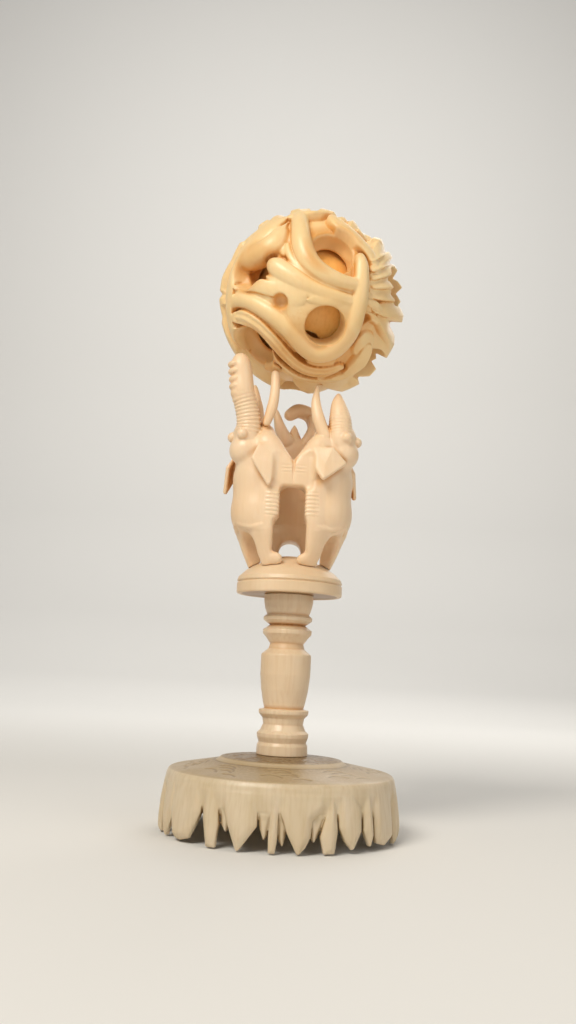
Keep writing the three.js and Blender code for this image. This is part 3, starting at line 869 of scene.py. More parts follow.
# elephants: three rear up with their backs outwards, carved in one piece
elephant = {
    "step": 0.18,
    "centreX": -0.3,
    "angles": {"left": -61, "right": 59, "rear": 180},
    "mostTriangles": 196000,
}
trunks = {
    "left": {"path": [(12.0, 0.4, 81.5), (12.0, 0.9, 84.8), (12.9, 1.1, 88.4), (14.1, 1.1, 91.8),
                      (14.3, 1.0, 94.8), (14.7, 0.9, 97.2), (14.8, 0.8, 98.6)],
             "radii": [2.7, 2.55, 2.4, 2.4, 2.15, 2.1, 1.6],
             "ripple": {"pitch": 0.8, "depth": 0.17, "from": 0.5, "to": 11.0},
             "lobes": [(88.3, 0.6), (89.6, 0.75), (91.0, 0.85), (92.5, 1.0), (94.1, 1.05), (95.8, 1.05),
                       (97.4, 0.95)]},
    "right": {"path": [(12.0, -1.0, 81.5), (11.7, -1.0, 86.6), (11.0, -0.8, 90.2), (10.8, -0.5, 92.5)],
              "radii": [2.75, 2.3, 1.4, 0.35],
              "ripple": {"pitch": 0.66, "depth": 0.12, "from": 0.5, "to": 9.0}},
    "rear": {"path": [(10.6, -2.2, 82), (10.4, -4.5, 86), (10.2, -4.9, 89.4), (10.0, -3.4, 92.0),
                      (9.4, -0.6, 92.9), (8.6, 1.5, 91.5)],
             "radii": [2.7, 2.3, 1.9, 1.6, 1.5, 1.25]},
}
tusks = {
    "left": [{"path": [(9.0, 3.2, 85.2), (8.1, 3.7, 88.6), (7.6, 3.7, 92), (7.2, 2.9, 96.6)],
              "radii": [0.85, 1.1, 1.0, 0.9]},
             {"path": [(8.0, -3.2, 85.5), (7.4, -4.6, 90), (7.2, -6.6, 94), (7.0, -7.3, 96.2)],
              "radii": [1.4, 1.4, 1.1, 0.5]}],
    "right": [{"path": [(9.6, -3.5, 82.5), (8.1, -4.0, 86.4), (7.1, -3.8, 90.4), (6.9, -3.0, 94.2)],
               "radii": [1.3, 1.3, 0.95, 0.3]},
              {"path": [(9.4, 3.2, 83), (8.8, 3.8, 87), (8.4, 3.4, 90), (8.0, 2.8, 92)],
               "radii": [1.2, 1.3, 1.0, 0.4]}],
    "rear": [{"path": [(6.6, 1.6, 84.5), (6.0, 3.4, 87.5), (5.8, 4.6, 91.4)], "radii": [1.6, 1.3, 0.6]},
             {"path": [(7.4, -2.6, 84.5), (7.6, -4.0, 88), (7.2, -3.4, 90.6)], "radii": [1.4, 1.2, 0.6]}],
}
# ears as fans round their raised middle: seen sides follow the photograph, the rest share one hidden ear, set
# on the side it sits on
seenEars = {
    "left": [(10.2, 7.0, 75.6), (11.2, 5.2, 79.6), (12.9, 5.7, 76.4), (10.1, 7.6, 71.3), (7.7, 7.6, 75.8),
             (8.6, 6.0, 79.4)],
    "right": [(11.4, -6.5, 75.6), (8.9, -6.2, 79.2), (12.2, -4.9, 79.2), (14.3, -3.4, 76.4),
              (11.7, -7.4, 72.7), (9.8, -7.4, 75.2)],
}
hiddenEar = [(12.7, -5.9, 75.0), (12.3, -4.4, 78.2), (13.9, -4.3, 75.8), (13.4, -6.1, 70.8),
             (11.4, -6.0, 74.6), (11.4, -5.0, 78.0)]


def carveElephant(volume, which, angle):
    a = math.radians(angle)
    outwards = np.array([math.sin(a), -math.cos(a), 0])
    sideways = np.array([math.cos(a), math.sin(a), 0])
    upwards = np.array([0, 0, 1.0])
    axes = np.array([outwards, sideways, upwards])

    def at(p):
        return p[0] * outwards + p[1] * sideways + p[2] * upwards + [elephant["centreX"], 0, 0]

    def blob(centre, radii, blend=0.8):
        addBlob(volume, at(centre), radii, axes, blend)

    def limb(points, radii, blend=0.8, cut=False, steps=6):
        addPath(volume, [at(p) for p in points], radii, blend, steps, cut)

    def onSkin(places, sink=0.0):
        # points on the surface straight outwards of the given [sideways, up] places
        found = []
        for t, z in places:
            outs = np.arange(17.5, 3.0, -0.12)
            depth = sampleField(volume, np.array([at((o, t, z)) for o in outs]))
            hit = np.nonzero(depth < 0)[0]
            found.append((outs[hit[0]] - sink if len(hit) else 9.0, t, z))
        return found

    # body, rump and shoulders
    blob((9.0, 0, 66.4), (5.0, 6.0, 6.6))
    blob((8.7, 0, 73.2), (5.2, 6.0, 6.2), 2.0)
    blob((9.6, 0, 79.0), (4.4, 4.6, 4.6), 1.6)
    for side in (1, -1):
        limb([(7.4, 4.5 * side, 72.5), (7.6, 4.5 * side, 66), (7.6, 4.2 * side, 60.5)], [2.6, 2.7, 2.2], 1.4)
    # haunches: an arc either side of the spine where the thighs start
    for side in (1, -1):
        arc = [(t, 61.6 + 0.09 * (t - 3.6) ** 2) for t in (0.3, 1.3, 2.4, 3.6, 4.8, 6.0)]
        limb(onSkin([(t * side, z) for t, z in arc], 0.05), [0.05, 0.25, 0.35, 0.35, 0.3, 0.1], 0.3, cut=True,
             steps=3)
        limb(onSkin([(t * side, z + 0.65) for t, z in arc], 0.1), [0.05, 0.3, 0.4, 0.4, 0.35, 0.1], 0.5,
             steps=3)
    blob((12.3, 0, 79.2), (3.2, 3.5, 3.3), 0.5)
    for side in (1, -1):
        # hind leg
        limb([(8.7, 3.7 * side, 61.0), (8.2, 3.8 * side, 57.6), (6.9, 3.7 * side, 54.2)], [2.6, 2.2, 2.0],
             1.0)
        # foreleg stretched out to the neighbour's, its foot rounded at the top
        shoulder = (8.8, 3.4 * side, 76.0)
        meeting = (4.8, 8.3 * side, 73.0)
        limb([shoulder, (6.8, 5.8 * side, 74.4), meeting], [3.4, 3.0, 2.6], 0.6)
        limb([(5.6, 7.0 * side, 75.4), (7.0, 5.2 * side, 77.8), (8.6, 3.0 * side, 80.8)], [1.6, 2.0, 2.6],
             0.7)
    near = {"left": 1, "right": -1, "rear": 0}[which]
    for side in (1, -1):
        if side == near:
            ear = seenEars[which]
        else:
            inset = 1.3 if which == "right" else 0
            ear = [(o - inset, abs(t) * side, z) for o, t, z in hiddenEar]
        addPlate(volume, [at(p) for p in (*ear, ear[1])], 0.5, 0.9)
    # head with its jaw and eyes
    blob((8.4, 0, 82.4), (3.2, 3.6, 3.6), 1.2)
    blob((11.9, 0, 83.2), (2.8, 3.2, 2.6), 0.8)
    for side in (1, -1):
        blob((14.1, 2.3 * side, 82.2), (1.2, 1.2, 1.2), 0.5)
    trunk = trunks[which]
    limb(trunk["path"], trunk["radii"], 0.4)
    for height, size in trunk.get("lobes", []):
        outs, sides, heights = zip(*trunk["path"])
        o, t = np.interp(height, heights, outs), np.interp(height, heights, sides)
        blob((o + 2.0, t, height), (size, 1.5, size * 0.8), 0.2)
    if "ripple" in trunk:
        addRipple(volume, [at(p) for p in trunk["path"]], trunk["radii"], trunk["ripple"])
    if which == "rear":
        limb([(8.6, 0.2, 83.5), (9.0, 0.2, 89.0)], [2.4, 0.3], 0.5)
    for tusk in tusks[which]:
        limb(tusk["path"], tusk["radii"], 0.2, steps=8)
    # arch between the hind legs
    for height in (53.5, 55.8, 58.0, 59.2):
        limb([(2.5, 0, height), (14.0, 0, height)], [2.3, 2.3], 0.6, cut=True)


def addRipple(volume, points, radii, ripple):
    # grooves across a path, between two lengths along it
    curve = smoothPath(points, 12)
    length = np.r_[0, np.cumsum(np.linalg.norm(np.diff(curve, axis=0), axis=1))]
    reach = max(radii) + 1.0
    region, (x, y, z) = blockAround(volume, curve.min(axis=0) - reach, curve.max(axis=0) + reach)
    best = np.full(volume["field"][region].shape, 99.0, np.float32)
    where = np.zeros_like(best)
    for i in range(len(curve) - 1):
        a = curve[i].astype(np.float32)
        d = (curve[i + 1] - curve[i]).astype(np.float32)
        t = np.clip(((x - a[0]) * d[0] + (y - a[1]) * d[1] + (z - a[2]) * d[2]) / float(d @ d), 0, 1)
        away = segmentDistance(x, y, z, a, d, t)
        where = np.where(away < best, length[i] + t * (length[i + 1] - length[i]), where)
        best = np.minimum(best, away)
    widths = np.interp(where, np.linspace(0, length[-1], len(radii)), radii)
    near = np.clip((widths + 0.8 - best) / 0.5, 0, 1)
    along = np.clip(np.minimum(where - ripple["from"], ripple["to"] - where) / 2.5, 0, 1)
    wave = (0.5 + 0.5 * np.cos(where * 2 * math.pi / ripple["pitch"])) ** 1.5
    volume["field"][region] += (ripple["depth"] * near * along * wave).astype(np.float32)


def addWrinkles(volume, centre, halfSizes, axes, pitch, height):
    # fine folds across the upright direction, fading out towards the edges of a box
    centre, half, axes = (np.asarray(given, np.float32) for given in (centre, halfSizes, axes))
    reach = boxReach(axes, half)
    region, grid = blockAround(volume, centre - reach, centre + reach)
    parts = partsAlong(grid, centre, axes)
    inside = 1.0
    for size, part in zip(half, parts):
        inside = inside * np.clip((size - np.abs(part)) / 0.5, 0, 1)
    wave = np.clip(np.cos(parts[2] * 2 * math.pi / pitch), -0.2, 1)
    volume["field"][region] += (height * inside * wave).astype(np.float32)


# how the legs taper in towards the platform, as (radius, height)
legTaper = [(8.5, 53.0), (8.8, 54.5), (9.5, 56.0), (10.4, 58.0), (11.2, 60.0), (12.0, 61.3), (14.0, 62.8),
            (18.0, 65.0)]
roomForBall = 20.75


def buildElephants():
    volume = newVolume([-19.0, -17.5, 53.0], [18.5, 18.5, 105.0], elephant["step"])
    for which, angle in elephant["angles"].items():
        carveElephant(volume, which, angle)
    centre = np.array([elephant["centreX"], 0, 0])
    up = np.array([0, 0, 1.0])
    # the hollow between the three bodies
    addBar(volume, centre + [0, 0, 58.5], centre + [0, 0, 67.5], 3.6, 3.6, 1.0, cut=True)
    gaps = []
    for angle in (0, 120, 240):
        out = towards(angle, 0)
        gaps.append((out, np.array([-out[1], out[0], 0])))
    for out, across in gaps:
        axes = [out, across, up]
        addSlab(volume, centre + out * 7.5 + up * 67.1, (7.5, 2.7, 4.0), axes, 1.0, 0.4, cut=True)
        addSlab(volume, centre + out * 7.5 - across * 0.3 + up * 59.0, (7.5, 3.5, 5.6), axes, 1.6, 0.9,
                cut=True)
    for out, across in gaps:
        axes = [out, across, up]
        # the front of the joined forelegs is cut flat, with a seam and fine folds
        addSlab(volume, centre + out * 13.3 + up * 74.4, (3.2, 4.2, 4.2), axes, 1.2, 0.9, cut=True)
        addBar(volume, centre + out * 9.9 + up * 76.6, centre + out * 10.1 + up * 71.4, 0.28, 0.16, 0.2,
               cut=True)
        addBar(volume, centre + out * 9.6 + up * 79.6, centre + out * 9.6 + up * 76.4, 1.3, 0.15, 0.5,
               cut=True)
        for side in (1, -1):
            fold = centre + out * 9.6 + across * side * 1.5 + up * 74.8
            addWrinkles(volume, fold, (1.6, 1.3, 1.2), axes, 0.75, 0.12)
            # ribbed edges of the opening
            edge = centre + out * 8.0 + across * side * 3.8 + up * 67.2
            addWrinkles(volume, edge, (3.5, 1.9, 2.9), axes, 0.85, 0.13)
            # front feet of the hind legs spread over the platform
            foot = centre + out * 7.7 + across * side * 3.5 + up * 55.9
            addBlob(volume, foot, (1.8, 2.0, 1.5), axes, 0.9)
    trimTurned(volume, legTaper)
    # room for the platform and the ball
    cutTurned(volume, [(r + 0.1, z + 0.12) for r, z in platform["profile"][4:-1]])
    addBlob(volume, ballCentre, [roomForBall] * 3, blend=0.2, cut=True)
    return volume


def trimTurned(volume, profile):
    top = int((profile[-1][1] - volume["low"][2]) / volume["step"])
    x, y, z = np.meshgrid(*axesOf(volume), indexing="ij", sparse=True)
    heights, radii = [p[1] for p in profile], [p[0] for p in profile]
    edge = np.interp(z[0, 0, :top], heights, radii).astype(np.float32)
    outside = (np.hypot(x - elephant["centreX"], y) - edge) * 0.85
    region = (slice(None), slice(None), slice(0, top))
    volume["field"][region] = -smoothUnion(-volume["field"][region], -outside, 1.3)


def cutTurned(volume, profile):
    heights, radii = [p[1] for p in profile], [p[0] for p in profile]
    axes = axesOf(volume)
    top = int((max(heights) + 1.5 - volume["low"][2]) / volume["step"])
    x, y, z = np.meshgrid(axes[0], axes[1], axes[2][:top], indexing="ij", sparse=True)
    edge = np.interp(axes[2][:top], heights, radii, left=radii[0], right=-3.0)[None, None, :]
    inside = np.minimum(edge - np.sqrt(x * x + y * y), (max(heights) - z)).astype(np.float32)
    region = (slice(None), slice(None), slice(0, top))
    volume["field"][region] = np.maximum(volume["field"][region], inside * 0.8)


elephantGroup = meshFromVolume("elephantGroup", buildElephants(), elephant["mostTriangles"],
                               ivory["elephants"])
ready(elephantGroup, "elephants")


# column: turned on the lathe from its profile, as the platform is
column = {
    "profile": [(0, 15.55), (5.3, 15.55), (5.4, 15.65), (5.32, 17.5), (5.0, 18.16), (5.4, 19.25),
                (5.44, 20.0), (4.75, 20.62), (4.22, 21.86), (4.44, 23.1), (5.2, 23.95), (5.26, 24.2),
                (5.26, 24.8), (4.15, 25.05), (4.5, 26.42), (4.99, 28.92), (5.32, 32.06), (5.34, 36.07),
                (5.24, 36.39), (3.85, 37.55), (3.56, 38.61), (4.5, 39.89), (5.2, 40.7), (5.25, 41.5),
                (3.79, 42.55), (5.2, 43.55), (5.25, 44.2), (4.52, 44.8), (5.01, 46.1), (5.29, 47.6),
                (5.3, 48.95), (5.15, 49.05), (0, 49.05)],
    "segments": 128,
    "rings": 420,
}


def turnedTree():
    tree = startTree("turned on the lathe", [("Profile", "NodeSocketObject"), ("Segments", "NodeSocketInt"),
                                             ("Rings", "NodeSocketInt"), ("Material", "NodeSocketMaterial")])
    given = node(tree, "NodeGroupInput").outputs
    profile = node(tree, "GeometryNodeObjectInfo", {"Object": given["Profile"]})
    line = node(tree, "GeometryNodeMeshToCurve", {"Mesh": profile.outputs["Geometry"]})
    extra = sums(tree, "ADD", given["Segments"], 1.0)
    sizes = {"Size X": 1.0, "Size Y": 1.0, "Vertices X": extra, "Vertices Y": given["Rings"]}
    grid = node(tree, "GeometryNodeMeshGrid", sizes)
    place = node(tree, "GeometryNodeInputPosition")
    parts = node(tree, "ShaderNodeSeparateXYZ", {0: place.outputs[0]})
    along = sums(tree, "ADD", parts.outputs["Y"], 0.5)
    turn = sums(tree, "MULTIPLY", parts.outputs["X"], 2 * math.pi)
    sample = node(tree, "GeometryNodeSampleCurve", {"Curves": line.outputs[0], "Factor": along},
                  mode="FACTOR")
    place = {"Vector": sample.outputs["Position"], "Angle": turn}
    spun = node(tree, "ShaderNodeVectorRotate", place, rotation_type="Z_AXIS")
    shaped = node(tree, "GeometryNodeSetPosition", {"Geometry": grid.outputs["Mesh"],
                                                    "Position": spun.outputs[0]})
    joined = node(tree, "GeometryNodeMergeByDistance", {"Geometry": shaped.outputs[0], "Distance": 0.00001})
    soft = node(tree, "GeometryNodeSetShadeSmooth", {"Geometry": joined.outputs[0]})
    return finishTree(tree, soft.outputs[0], given["Material"])


def profileObject(name, profile):
    points = [(r * mm, 0, z * mm) for r, z in profile]
    mesh = bpy.data.meshes.new(name)
    mesh.from_pydata(points, [(i, i + 1) for i in range(len(points) - 1)], [])
    return putInScene(name, mesh)


def runTree(thing, tree, inputs):
    # the helper objects among the inputs are used up
    modifier = thing.modifiers.new("nodes", "NODES")
    modifier.node_group = tree
    for label, value in inputs.items():
        modifier[socketOf(tree, label)] = value
    bakeModifiers(thing)
    for value in inputs.values():
        if isinstance(value, bpy.types.Object):
            bpy.data.objects.remove(value)


lathe = turnedTree()


def turnPiece(name, sizes, material):
    thing = putInScene(name, bpy.data.meshes.new(name))
    runTree(thing, lathe, {
        "Profile": profileObject(name + "Profile", sizes["profile"]),
        "Segments": sizes["segments"],
        "Rings": sizes["rings"],
        "Material": material,
    })
    pointOutwards(thing)
    shadeOfProfile(thing, sizes["profile"])
    reportTriangles(thing)
    return thing


def pointOutwards(thing):
    work = bmesh.new()
    work.from_mesh(thing.data)
    bmesh.ops.remove_doubles(work, verts=work.verts, dist=0.000004)
    bmesh.ops.recalc_face_normals(work, faces=work.faces)
    work.to_mesh(thing.data)
    work.free()


# painted shade for a turned piece: its hollows are where its profile lies inside the same profile blurred, in
# mm
turnedShade = {"samples": 1200, "window": 60, "blur": 1.1, "deepest": 0.7}


def shadeOfProfile(thing, profile):
    points = placeOf(thing.data.vertices) / mm
    radius = np.hypot(points[:, 0], points[:, 1])
    side = [p for p in profile if p[0] > 0]
    heights = np.array([p[1] for p in side])
    radii = np.array([p[0] for p in side])
    order = np.argsort(heights, kind="stable")
    fine = np.linspace(heights.min() - 2, heights.max() + 2, turnedShade["samples"])
    outline = np.interp(fine, heights[order], radii[order])
    window = turnedShade["window"]
    away = np.arange(-window, window + 1) * (fine[1] - fine[0])
    spread = np.exp(-0.5 * (away / turnedShade["blur"]) ** 2)
    around = np.convolve(np.pad(outline, window, mode="edge"), spread / spread.sum(), mode="valid")
    # painted shade in the grooves, growing with their depth
    inside = np.interp(points[:, 2], fine, around) - radius
    keepHollows(thing.data, np.clip(inside / turnedShade["deepest"], 0, 1))


for name, sizes, slot in (("columnPiece", column, "column"), ("platformPiece", platform, "platform")):
    ready(turnPiece(name, sizes, ivory[slot]), slot)


# base: a domed disc over a skirt of leaves and pegs, with short teeth behind the gaps
base = {
    "rimRadius": 23.75,
    "rimHeight": 11.4,
    "footRadius": 25.05,
    "frontWall": 1.5,
    "frontTop": 10.4,
    "frontMiddle": 24.8,
    "frontBevel": (0.75, 1.5),
    "backWall": 1.3,
    "backInset": 1.25,
    "backTop": 6.4,
    "backMiddle": 23.6,
    "backBevel": (0.5, 1.0),
    "skirtTop": 11.3,
    "mapTurn": 0.25,
    "mapStep": 0.12,
    # how much darker the upward faces are painted
    "upwardDarkening": 0.7,
    "step": 0.2,
    "mostTriangles": 190000,
    "disc": [(0, 9.2), (21.6, 9.2), (21.9, 8.4), (22.9, 8.4), (23.5, 10.4), (23.75, 11.5), (23.3, 12.3),
             (22.7, 12.55), (13.6, 14.25), (13.2, 14.45), (12.6, 14.9), (5.6, 15.5), (0, 15.5)],
}
# outlines seen from the front, as (azimuth, height); the rest of the ring repeats one pair
frontTeeth = [
    [(-61, 9.8), (-60, 4.2), (-56.9, 0.9), (-54, 0.3), (-50.9, 0.2), (-44.7, 0.9), (-40.9, 3.6), (-38.3, 5.8),
     (-38.4, 9.8)],
    [(-37.9, 10.2), (-36.9, 5.6), (-33.7, 0.1), (-29.1, 0.1), (-28.4, 2.9), (-27.9, 4.2), (-30.4, 10.2)],
    [(-29.9, 10.2), (-23.1, 4.2), (-18.9, 0.15), (-17.7, 0.05), (-14.6, 1.8), (-9.7, 4.6), (-10.0, 9.8),
     (-20, 11)],
    [(-7.2, 9.2), (-3.9, 8.0), (-4.6, 2.9), (-4.3, 0.1), (-1.3, 0.1), (-0.5, 2.5), (-0.3, 9.0), (-1, 10)],
    [(0.1, 9.0), (0.2, 7.6), (3.7, 3.5), (8.2, 0.05), (9.2, 0.05), (12.0, 1.3), (14.2, 3.1), (14.8, 6.0),
     (21.6, 8.2), (21, 10)],
    [(22.0, 9.6), (22.2, 8.0), (18.6, 3.1), (20.4, 0.1), (25.6, 0.1), (27.2, 4.0), (26.4, 9.6)],
    [(26.9, 9.6), (27.8, 4.6), (30.9, 2.2), (34.5, 0.6), (35.7, 0.7), (40.4, 3.7), (41.2, 8.2), (36, 10.4)],
    [(42.0, 9.0), (41.6, 3.9), (45.5, 0.9), (46.6, 0.9), (48.7, 2.8), (48.4, 9.0)],
    [(49.2, 9.0), (49.3, 2.8), (50.9, 1.3), (58, 0.5), (62.7, 1.2), (66.4, 1.6), (67.0, 9.4)],
]
shortTeeth = [
    [(-41, 8.8), (-41, 6.6), (-38.3, 5.6), (-36, 6.6), (-36, 8.8)],
    [(-29.5, 8.8), (-27.9, 4.2), (-25.3, 2.9), (-23.3, 4.3), (-22, 8.8)],
    [(-11, 8.8), (-9.4, 4.7), (-6.8, 2.1), (-4.9, 3.0), (-2, 8.8)],
    [(-2, 8.8), (-0.5, 2.6), (1.9, 1.1), (3.2, 3.0), (6, 8.8)],
    [(12, 8.8), (14.6, 3.0), (16.4, 1.9), (18.4, 3.2), (24, 8.8)],
    [(25, 8.8), (27.0, 4.2), (29, 4.4), (31, 8.8)],
    [(38, 8.8), (41, 3.8), (43, 4.6), (45, 8.8)],
    [(46, 8.8), (49, 3.0), (51, 4.6), (53, 8.8)],
]
# the back repeats a peg and a leaf with two short teeth, as turns from where each set starts
backTeeth = [
    [(1.0, 9.6), (1.6, 3.6), (3.0, 0.1), (7.0, 0.1), (8.2, 3.6), (8.6, 9.6)],
    [(9.2, 9.6), (12.4, 4.0), (16.4, 0.1), (18.0, 0.1), (22, 2.8), (25.6, 5.2), (25.8, 9.6), (17, 10.6)],
]
backShortTeeth = [
    [(7.0, 8.8), (9.4, 3.4), (11.4, 1.6), (13.2, 3.4), (15, 8.8)],
    [(-3.0, 8.8), (-1.4, 4.2), (0.6, 2.4), (2.4, 4.2), (4, 8.8)],
]
backRing = {"from": 67, "to": 303, "sets": 9}
for k in range(backRing["sets"]):
    start = backRing["from"] + k * ((backRing["to"] - backRing["from"]) / backRing["sets"])
    frontTeeth += [[(start + turn, height) for turn, height in tooth] for tooth in backTeeth]
    shortTeeth += [[(start + turn, height) for turn, height in tooth] for tooth in backShortTeeth]


def polygonDistance(x, y, corners):
    best = np.full(x.shape, 1e6, np.float32)
    sign = np.ones(x.shape, np.float32)
    count = len(corners)
    for i in range(count):
        ax, ay = corners[i]
        bx, by = corners[(i + 1) % count]
        ex, ey = bx - ax, by - ay
        wx, wy = x - ax, y - ay
        t = np.clip((wx * ex + wy * ey) / max(ex * ex + ey * ey, 1e-9), 0, 1)
        best = np.minimum(best, (wx - ex * t) ** 2 + (wy - ey * t) ** 2)
        above = y >= ay
        below = y < by
        leftOf = ex * wy > ey * wx
        flip = (above & below & leftOf) | (~above & ~below & ~leftOf)
        sign = np.where(flip, -sign, sign)
    return sign * np.sqrt(best)


def skirtRadius(z):
    span = base["footRadius"] - base["rimRadius"]
    return base["footRadius"] - span * np.clip(z / base["rimHeight"], 0, 1.2) ** 1.8


def outlineMap(outlines, above, azimuths, heights, middle):
    # distance to the nearest tooth outline on the unrolled skirt, in mm
    perDegree = math.radians(1) * middle
    az, z = np.meshgrid(azimuths, heights, indexing="ij")
    best = (above - z).astype(np.float32)
    for corners in outlines:
        # a tooth's upper corners run on into the skirt above
        corners = [(c[0], c[1] if c[1] < 8.5 else above + 1.2) for c in corners]
        centre = sum(c[0] for c in corners) / len(corners)
        offset = (az - centre + 180) % 360 - 180
        near = np.abs(offset[:, 0]) < 22
        x = offset[near] * perDegree
        shape = [((c[0] - centre) * perDegree, c[1]) for c in corners]
        best[near] = np.minimum(best[near], polygonDistance(x, z[near], shape))
    return best


def sampleGrid(grid, x, y):
    i = np.clip(x.astype(int), 0, grid.shape[0] - 2)
    j = np.clip(y.astype(int), 0, grid.shape[1] - 2)
    fx = np.clip(x - i, 0, 1)
    fy = np.clip(y - j, 0, 1)
    low = grid[i, j] * (1 - fy) + grid[i, j + 1] * fy
    high = grid[i + 1, j] * (1 - fy) + grid[i + 1, j + 1] * fy
    return low * (1 - fx) + high * fx


def skirtLayer(edge, radius, outer, wall, bevel):
    cutBack, width = bevel
    rounded = outer - cutBack * np.clip(1 + edge / width, 0, 1) ** 1.6
    return np.maximum(np.maximum(edge, radius - rounded), outer - wall - radius)


def buildBase():
    volume = newVolume([-26, -26, -0.6], [26, 26, 16.2], base["step"])
    turn, step = base["mapTurn"], base["mapStep"]
    azimuths = np.arange(-180, 180.2, turn)
    heights = np.arange(-1, 17, step)
    front = outlineMap(frontTeeth, base["frontTop"], azimuths, heights, base["frontMiddle"])
    behind = outlineMap(shortTeeth, base["backTop"], azimuths, heights, base["backMiddle"])
    r2, z2 = np.meshgrid(np.arange(0, 38, step), heights, indexing="ij")
    disc = polygonDistance(r2, z2, base["disc"])
    axes = axesOf(volume)
    x, y = np.meshgrid(axes[0], axes[1], indexing="ij")
    radius = np.hypot(x, y)
    across = (np.degrees(np.arctan2(x, -y)) + 180) / turn
    for k, z in enumerate(axes[2]):
        row = np.full(across.shape, (z + 1) / step)
        layer = sampleGrid(disc, radius / step, row)
        if z < base["skirtTop"]:
            outer = float(skirtRadius(z))
            edge = sampleGrid(front, across, row)
            leaf = skirtLayer(edge, radius, outer, base["frontWall"], base["frontBevel"])
            outer -= base["backInset"] * np.clip((base["frontTop"] - z) / 4.8, 0.05, 1)
            edge = sampleGrid(behind, across, row)
            short = skirtLayer(edge, radius, outer, base["backWall"], base["backBevel"])
            layer = smoothUnion(layer, smoothUnion(leaf, short, 0.25), 0.3)
        volume["field"][:, :, k] = layer
    # the teeth end just above the table
    volume["field"] = np.maximum(volume["field"], 0.02 - axes[2])
    # the base's upward faces are painted darker
    volume["upwardDarkening"] = base["upwardDarkening"]
    return volume


# engraved leaf-like marks on the disc, one set repeated round it
marks = {"count": 9, "depth": 0.13, "width": 0.55}
markStrokes = [
    [(-2.4, 15.6), (-1.0, 15.1), (0.6, 15.3), (1.8, 16.1)],
    [(-1.2, 16.9), (0.4, 16.4), (2.0, 16.9), (3.0, 17.9)],
    [(0.2, 18.3), (1.8, 18.0), (3.2, 18.8)],
    [(-3.6, 18.6), (-2.2, 18.2), (-0.8, 18.8), (0.2, 19.8)],
    [(2.6, 20.2), (4.2, 19.9), (5.6, 20.4)],
    [(-1.2, 8.4), (0.2, 8.0), (1.6, 8.5)],
    [(-0.4, 10.1), (1.0, 9.6), (2.3, 10.2)],
    [(-2.6, 11.0), (-1.4, 11.4), (-0.2, 11.5)],
    [(13.9 * math.sin(a), 13.9 * math.cos(a)) for a in np.radians(range(-20, 21, 5))],
]


def engraveTree():
    tree = startTree("engraved marks", [("Marks", "NodeSocketObject"), ("Count", "NodeSocketInt"),
                                        ("Depth", "NodeSocketFloat"),
                                        ("Width", "NodeSocketFloat"), ("Material", "NodeSocketMaterial")])
    given = node(tree, "NodeGroupInput").outputs
    marksIn = node(tree, "GeometryNodeObjectInfo", {"Object": given["Marks"]})
    spots = node(tree, "GeometryNodePoints", {"Count": given["Count"]})
    index = node(tree, "GeometryNodeInputIndex")
    share = sums(tree, "DIVIDE", index.outputs[0], given["Count"])
    turn = sums(tree, "MULTIPLY", share, 2 * math.pi)
    rotation = node(tree, "ShaderNodeCombineXYZ", {"Z": turn})
    copies = {"Points": spots.outputs[0], "Instance": marksIn.outputs["Geometry"],
              "Rotation": rotation.outputs[0]}
    ring = node(tree, "GeometryNodeInstanceOnPoints", copies)
    strokes = node(tree, "GeometryNodeRealizeInstances", {"Geometry": ring.outputs[0]})
    near = node(tree, "GeometryNodeProximity", {"Geometry": strokes.outputs[0]}, target_element="EDGES")
    ends = {"Value": near.outputs["Distance"], "From Min": 0.0, "From Max": given["Width"], "To Min": 1.0,
            "To Max": 0.0}
    depth = node(tree, "ShaderNodeMapRange", ends, interpolation_type="SMOOTHSTEP").outputs[0]
    back = sums(tree, "MULTIPLY", sums(tree, "MULTIPLY", depth, given["Depth"]), -1.0)
    normal = node(tree, "GeometryNodeInputNormal")
    move = node(tree, "ShaderNodeVectorMath", {0: normal.outputs[0], "Scale": back}, operation="SCALE")
    cut = node(tree, "GeometryNodeSetPosition", {"Geometry": given["Geometry"], "Offset": move.outputs[0]})
    stored = {"Geometry": cut.outputs[0], "Name": "engraved", "Value": depth}
    kept = node(tree, "GeometryNodeStoreNamedAttribute", stored, data_type="FLOAT", domain="POINT")
    return finishTree(tree, kept.outputs[0], given["Material"])


def strokesObject(name, strokes, place):
    points = []
    edges = []
    for stroke in strokes:
        curve = smoothPath([(*p, 0) for p in stroke], 5)
        first = len(points)
        points += [place(p) for p in curve]
        edges += [(i, i + 1) for i in range(first, len(points) - 1)]
    mesh = bpy.data.meshes.new(name)
    mesh.from_pydata([tuple(np.asarray(p) * mm) for p in points], edges, [])
    return putInScene(name, mesh)


engraving = engraveTree()


def onDisc(p):
    radius = math.hypot(p[0], p[1])
    height = np.interp(radius, [5.6, 12.6, 13.6, 22.7], [15.5, 14.9, 14.25, 12.55])
    return (p[0], -p[1], height)


def engraveBase(thing):
    runTree(thing, engraving, {
        "Marks": strokesObject("baseMarks", markStrokes, onDisc),
        "Count": marks["count"],
        "Depth": marks["depth"] * mm,
        "Width": marks["width"] * mm,
        "Material": ivory["base"],
    })


basePiece = meshFromVolume("basePiece", buildBase(), base["mostTriangles"], ivory["base"], engraveBase)
ready(basePiece, "base")


# floor, light and camera, in metres
studio = {"floorSize": 2.4, "floorTone": tone(234, 232, 228), "floorDrop": 0.0002,
          "air": (1.0, 0.985, 0.96, 1),
          "airStrength": 0.26}
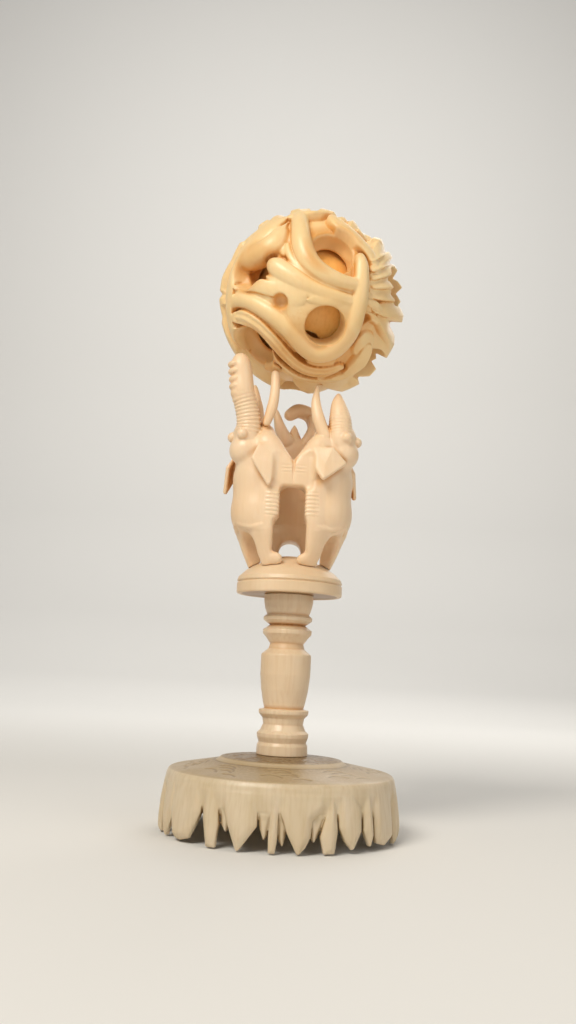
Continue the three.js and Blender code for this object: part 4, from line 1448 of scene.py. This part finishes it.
# name, place, target, size, power and colour of each lamp
lamps = [
    ("keyLight", (-0.22, -0.36, 0.44), (0, 0, 0.09), 0.24, 2.35, (1.0, 0.95, 0.86)),
    ("fillLight", (0.5, -0.45, 0.2), (0, 0, 0.08), 0.5, 1.0, (1.0, 0.97, 0.92)),
    ("backLight", (0.2, 0.4, 0.45), (0, 0, 0.1), 0.4, 0.8, (1.0, 0.98, 0.94)),
    ("backdropLight", (0, 0.35, 0.75), (0, 1.1, 0.5), 0.9, 4.6, (1.0, 0.99, 0.97)),
]
# the camera looks up a little and is rolled, in degrees; focal length and frame height in pixels
view = {"place": (-0.00108, -0.2011, 0.0331), "pitch": 9.64, "roll": 2.74, "focal": 930, "frame": 1024,
        "sensor": 36}


def addStage():
    size = studio["floorSize"]
    ramp = [(-size, 0), (0.5, 0), (0.72, 0.02), (0.9, 0.09), (1.04, 0.23), (1.1, 0.45), (1.1, size * 1.6)]
    points = [(x, y, z - studio["floorDrop"]) for y, z in ramp for x in (-size, size)]
    faces = [(2 * i, 2 * i + 1, 2 * i + 3, 2 * i + 2) for i in range(len(ramp) - 1)]
    mesh = bpy.data.meshes.new("studioFloor")
    mesh.from_pydata(points, [], faces)
    floor = putInScene("studioFloor", mesh)
    smooth(floor)
    material = bpy.data.materials.new("paleFloor")
    material.use_nodes = True
    shader = material.node_tree.nodes["Principled BSDF"]
    shader.inputs["Base Color"].default_value = studio["floorTone"]
    shader.inputs["Roughness"].default_value = 0.85
    mesh.materials.append(material)


def addLight(name, place, target, size, power, colour):
    lamp = bpy.data.lights.new(name, "AREA")
    lamp.shape = "SQUARE"
    lamp.size = size
    lamp.energy = power
    lamp.color = colour
    thing = putInScene(name, lamp)
    thing.location = place
    thing.rotation_euler = (Vector(target) - Vector(place)).to_track_quat("-Z", "Y").to_euler()


def addCamera():
    lens = bpy.data.cameras.new("camera")
    lens.sensor_fit = "VERTICAL"
    lens.sensor_height = view["sensor"]
    lens.sensor_width = view["sensor"]
    lens.lens = view["sensor"] * view["focal"] / view["frame"]
    lens.clip_start = 0.01
    pitch = math.radians(view["pitch"])
    roll = math.radians(view["roll"])
    right = Vector((1, 0, 0))
    forward = Vector((0, math.cos(pitch), math.sin(pitch)))
    up = right.cross(forward)
    rolledRight = right * math.cos(roll) + up * math.sin(roll)
    rolledUp = -right * math.sin(roll) + up * math.cos(roll)
    matrix = Matrix((rolledRight, rolledUp, -forward)).transposed().to_4x4()
    matrix.translation = view["place"]
    thing = putInScene("camera", lens)
    thing.matrix_world = matrix
    bpy.context.scene.camera = thing


addStage()
for lamp in lamps:
    addLight(*lamp)
world = bpy.data.worlds.new("studioAir")
world.use_nodes = True
background = world.node_tree.nodes["Background"]
background.inputs["Color"].default_value = studio["air"]
background.inputs["Strength"].default_value = studio["airStrength"]
bpy.context.scene.world = world
addCamera()

bpy.context.scene.view_settings.view_transform = "Standard"  # colours as the materials give them
print("scene ready")
